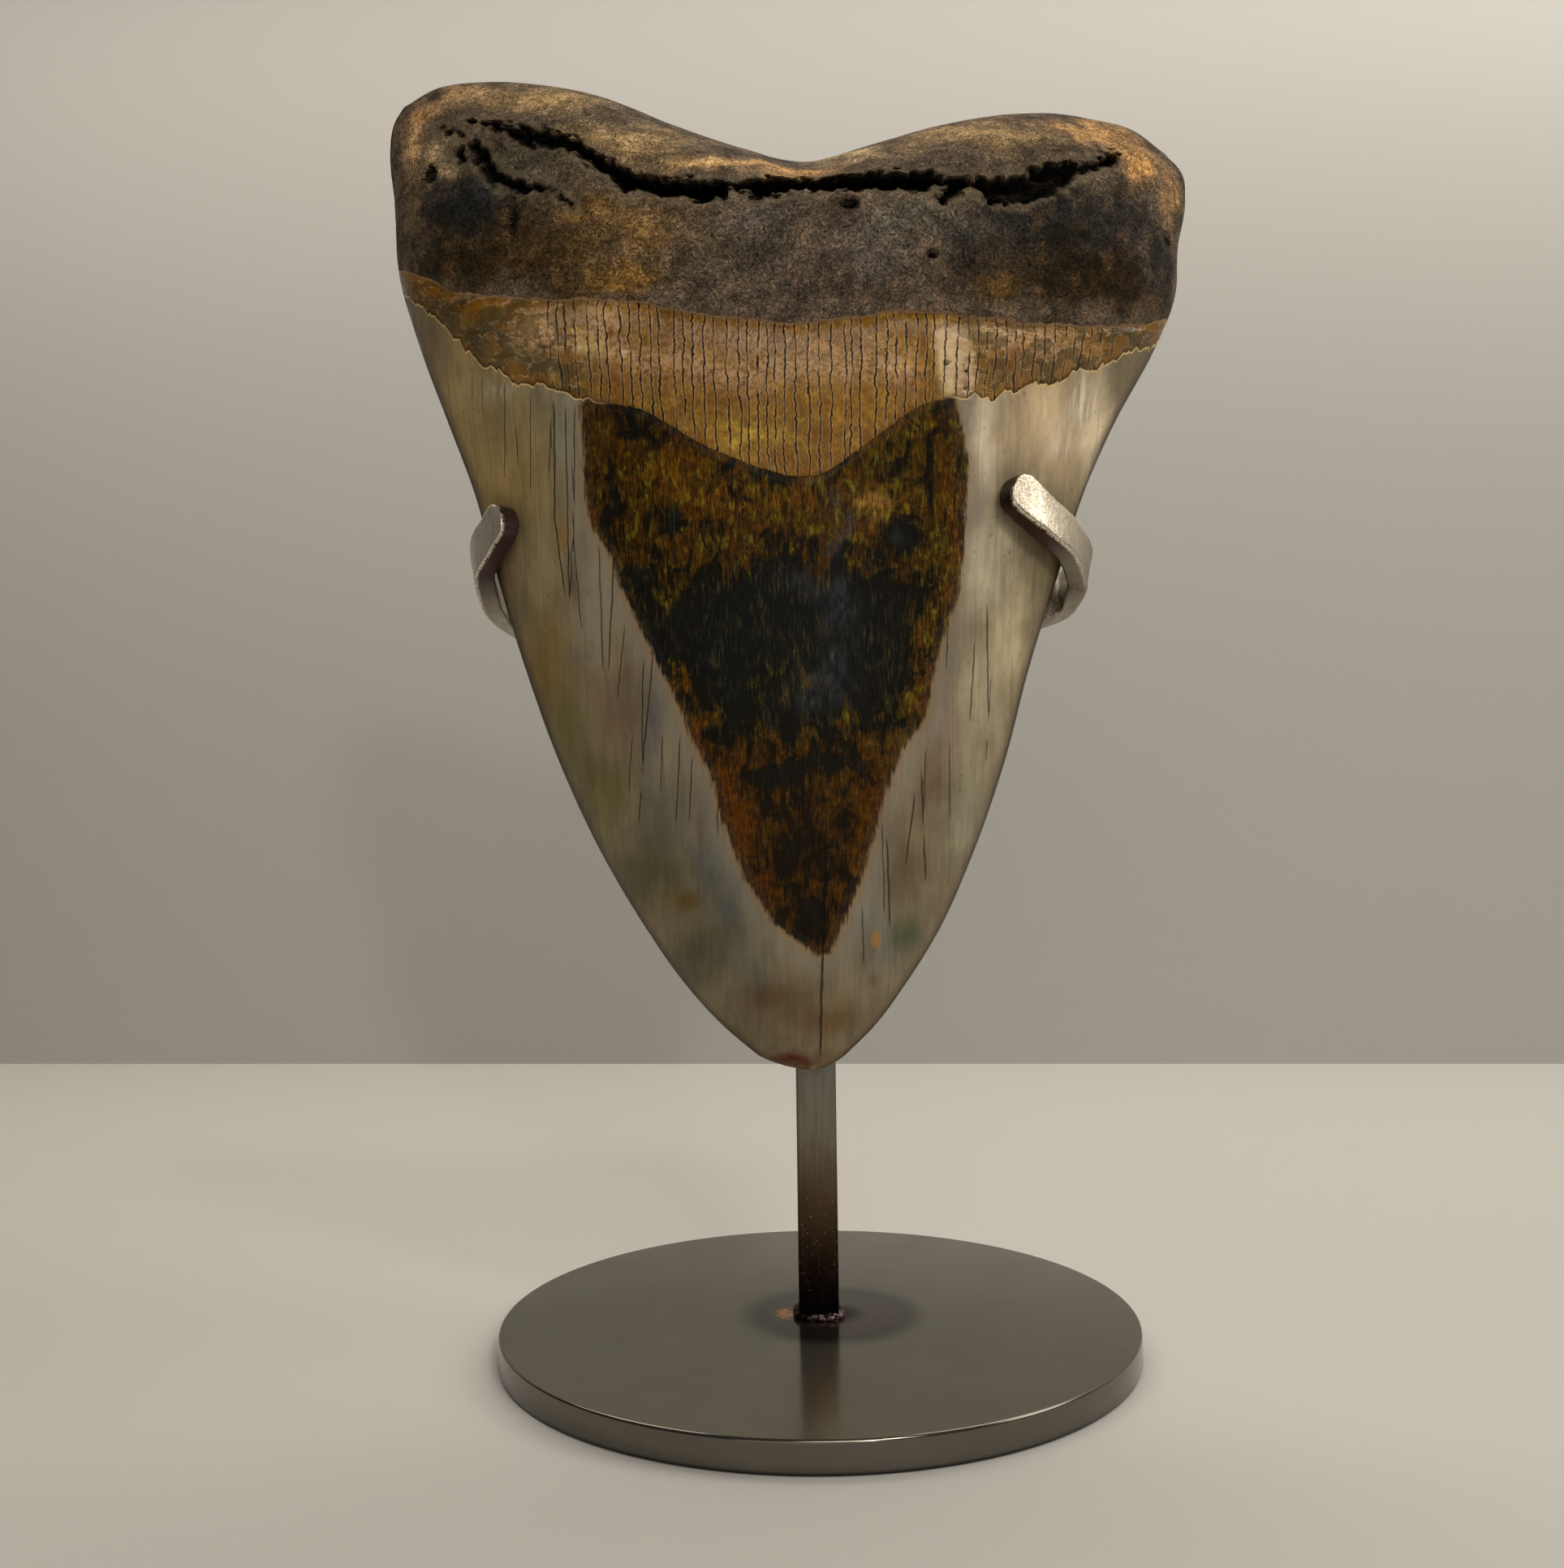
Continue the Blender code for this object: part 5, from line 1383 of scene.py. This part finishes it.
def bar_section(around):
    """Across and out, in half sizes, of a flat bar's section with rounded corners."""
    wide, thick = ARM_WIDTH / 2 - ARM_CORNER, ARM_THICKNESS / 2 - ARM_CORNER
    outline = []
    for quarter, (cx, cy) in enumerate(((wide, thick), (-wide, thick), (-wide, -thick),
                                        (wide, -thick))):
        for k in range(5):
            angle = math.pi / 2 * (quarter + k / 4)
            outline.append((cx + ARM_CORNER * math.cos(angle), cy + ARM_CORNER * math.sin(angle)))
        if quarter in (0, 2):
            flat = np.linspace(-wide, wide, 9)[1:-1] * (-1 if quarter == 0 else 1)
            outline += [(px, (1 if quarter == 0 else -1) * ARM_THICKNESS / 2) for px in flat]
        else:
            flat = np.linspace(-thick, thick, 4)[1:-1] * (-1 if quarter == 1 else 1)
            outline += [((-1 if quarter == 1 else 1) * ARM_WIDTH / 2, py) for py in flat]
    outline.append(outline[0])
    outline = np.array(outline)
    at = around * (len(outline) - 1)
    return [np.interp(at, range(len(outline)), outline[:, k]) for k in range(2)]


def arm_form(stations, seed):
    """A form for wrapped_sheet: a flat bar through (x, y, z, turn in degrees) stations."""
    stations = np.array(stations, float)
    lengths = np.linalg.norm(np.diff(stations[:, :3], axis=0), axis=1)
    travel = np.concatenate([[0], np.cumsum(lengths)])

    def read(column, places):
        return smooth_through(list(zip(travel, stations[:, column])), places)

    def place(at):
        return np.stack([read(k, at) for k in range(3)], axis=1)

    def form(around, along):
        across, out = bar_section(around)
        cap = np.clip(np.minimum(along / 0.02, (1 - along) / 0.02), 0, 1)
        at = np.interp(along, (0.02, 0.8, 0.98), (0, travel[-1] - 4, travel[-1] - 0.02))
        centre = place(at)
        ahead = unit(place(at + 0.05) - place(at - 0.05))
        turned = np.radians(read(3, at))
        upright = unit(UP - ahead[:, 2:3] * ahead)
        hand = math.copysign(1.0, stations[-1, 0])
        outward = hand * np.cross(upright, ahead)
        width = np.cos(turned)[:, None] * upright + np.sin(turned)[:, None] * outward
        face = hand * np.cross(width, ahead)
        part = np.clip((travel[-1] - at) / ARM_TIP_RADIUS, 0, 1)
        narrow = np.maximum((1 - (1 - part) ** 2.4) ** (1 / 2.4), 0.24)
        surface = (centre + (across * narrow * cap)[:, None] * width
                   + (out * cap)[:, None] * face)
        arm_fields["from_tip"] = travel[-1] - at
        arm_fields["on_face"] = out / (ARM_THICKNESS / 2) * cap
        arm_fields["across"] = across / (ARM_WIDTH / 2)
        nick = bumps(surface, 1.1, seed, 3)
        corner = smooth_step(np.abs(across), ARM_WIDTH / 2 - 0.8, ARM_WIDTH / 2) * smooth_step(
            np.abs(out), ARM_THICKNESS / 2 - 0.6, ARM_THICKNESS / 2)
        dent = 0.12 * nick * corner * cap - 0.05 * np.abs(nick) * cap
        return surface + dent[:, None] * (np.sign(across)[:, None] * width * 0.7
                                          + np.sign(out)[:, None] * face * 0.7)

    return form


arm_fields = {}
arms = []
for name, stations, seed in (("left_claw_arm", LEFT_ARM, 7), ("right_claw_arm", RIGHT_ARM, 8)):
    arm = wrapped_sheet(name, 36, 260, arm_form(stations, seed))
    for field, values in arm_fields.items():
        add_attribute(arm, field, values)
    close_up(arm, smooth_angle=40)
    arms.append(arm)
    print(name, "has", len(arm.data.polygons), "faces")

# %% [markdown]
# ## The finish of the arms
# The arms were bent hot and sanded afterwards. The outer face of each claw is bright, with fine
# scratches and dark specks. The narrow edges kept the brown-purple oxide of the heat near the
# claw and turn grey at the bend, and a painted highlight runs along the corner between face and edge.

# %% Ground steel
def arm_finish(name, bright, dull, metal):
    """Sanded metal on the claw's face, bright, and dull metal along the rest of the arm."""
    finish = Finish(name)
    from_tip, on_face, across = map(finish.stored, ("from_tip", "on_face", "across"))
    scratch = finish.noise((0.25, 2.0, 2.6), 3.0, 0.6)
    blotch = finish.noise((2.4, 2.4, 2.4))
    speck = finish.noise((0.4, 0.4, 0.4), 2.0)
    near_claw = from_tip.band(14, 26, 1, 0)
    oxide = finish.mix(from_tip.band(9, 17), (70, 54, 50), (128, 120, 108))
    sanded = finish.mix(speck.band(0.6, 0.74, 0, 0.7), bright, (110, 98, 82)).coats(
        (scratch.band(0.35, 0.7, 0, 0.4), (140, 130, 114)))
    claw = oxide.coats((on_face.band(0.82, 0.97), sanded))
    # Painted highlight along the corner between face and edge, near the claw.
    painted_edge_highlight = on_face.band(0.55, 0.9) * abs(across).band(0.86, 0.97) * speck.band(0.4, 0.52)
    colour = finish.mix(blotch.band(0.35, 0.65, 0, 0.5), dull, (120, 112, 100)).coats(
        (near_claw, claw), (painted_edge_highlight * near_claw, (226, 214, 196)))
    rough = speck.band(0.35, 0.7, 0.3, 0.46)
    return finish.dress(colour, rough, scratch * 0.03 + speck * 0.04, Metallic=metal)


tones = (((228, 220, 204), (186, 180, 166), 0.7), ((212, 200, 178), (150, 142, 128), 1.0))
for arm, node, (bright, dull, metal) in zip(arms, ("left_arm", "right_arm"), tones):
    arm.data.materials.append(arm_finish(arm.name + "_steel", bright, dull, metal))
    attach(arm, "root")
    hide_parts(node)
print("arms dressed")

# %% [markdown]
# ## The room
# The stand is in a pale display case. A floor and a back wall, both plain, give the steel
# something to mirror and take the soft shadows.

# %% Floor and wall
WALL_Y = 282.0
WALL_TURN = 4.8
STAGE_HALF = 1500.0


def stage_sheet(name, place, turned, colour):
    """A plain painted sheet that belongs to the room."""
    bpy.ops.mesh.primitive_plane_add(size=2 * STAGE_HALF * MM, location=place, rotation=turned)
    sheet = bpy.context.object
    sheet.name = sheet.data.name = name
    settle(sheet)
    sheet.data.materials.append(Finish(name + "_paint").dress(colour, 0.75))


stage_sheet("case_floor", (0, 0, 0), (0, 0, 0), (198, 195, 188))
stage_sheet("case_wall", (0, WALL_Y * MM, STAGE_HALF * MM),
            (math.radians(90), 0, math.radians(-WALL_TURN)), (185, 183, 177))
print("wall stands", WALL_Y, "mm behind the post")

# %% [markdown]
# ## The light
# Soft lamps stand where the shadows say they were. The main one is high and to the right of the
# camera and makes the shadow on the floor. A lower one, also to the right, throws the tooth's
# shadow on the wall. A broad one far to the right gives the sheen down the right side of the
# crown, and a broader one to the left fills the shadows. The others wash the wall and the floor.

# %% Lamps
WARM = (1.0, 0.935, 0.855)
PALE = (1.0, 0.96, 0.905)


def lamp(name, place, aim, size, power, colour=WARM, length=None):
    """An area lamp at a place in millimetres: round, or a strip when it has a length."""
    start, target = Vector(place) * MM, Vector(aim) * MM
    bpy.ops.object.light_add(type="AREA", location=start)
    made = bpy.context.object
    made.name = name
    made.data.shape = "RECTANGLE" if length else "DISK"
    made.data.size = (length or size) * MM
    if length:
        made.data.size_y = size * MM
    made.data.energy = power
    made.data.color = colour
    made.rotation_euler = (target - start).to_track_quat("-Z", "Y").to_euler()


TOOTH_MIDDLE = (0, -10, 120)
lamp("main_lamp", (468, -821, 1160), TOOTH_MIDDLE, 150, 2.0, PALE)
lamp("low_lamp", (371, -1396, 559), TOOTH_MIDDLE, 110, 2.1, PALE)
lamp("right_lamp", (801, -123, 515), TOOTH_MIDDLE, 420, 2.0, PALE)
lamp("fill_lamp", (-208, -1188, 224), TOOTH_MIDDLE, 800, 1.0, PALE)
lamp("high_right_lamp", (500, 100, 600), (0, 200, 100), 300, 0.4)
lamp("wall_strip_lamp", (0, 160, 400), (0, 282, 0), 120, 0.78, WARM, length=900)
lamp("high_strip_lamp", (0, 225, 620), (0, 282, 260), 120, 1.4, WARM, length=900)
lamp("overhead_lamp", (60, -300, 220), (0, -290, 0), 220, 0.5)

world = bpy.data.worlds.new("room_light")
world.use_nodes = True
room = world.node_tree.nodes["Background"].inputs
room["Color"].default_value = (0.62, 0.60, 0.56, 1)
room["Strength"].default_value = 0.02
bpy.context.scene.world = world
bpy.context.scene.view_settings.view_transform = "Standard"
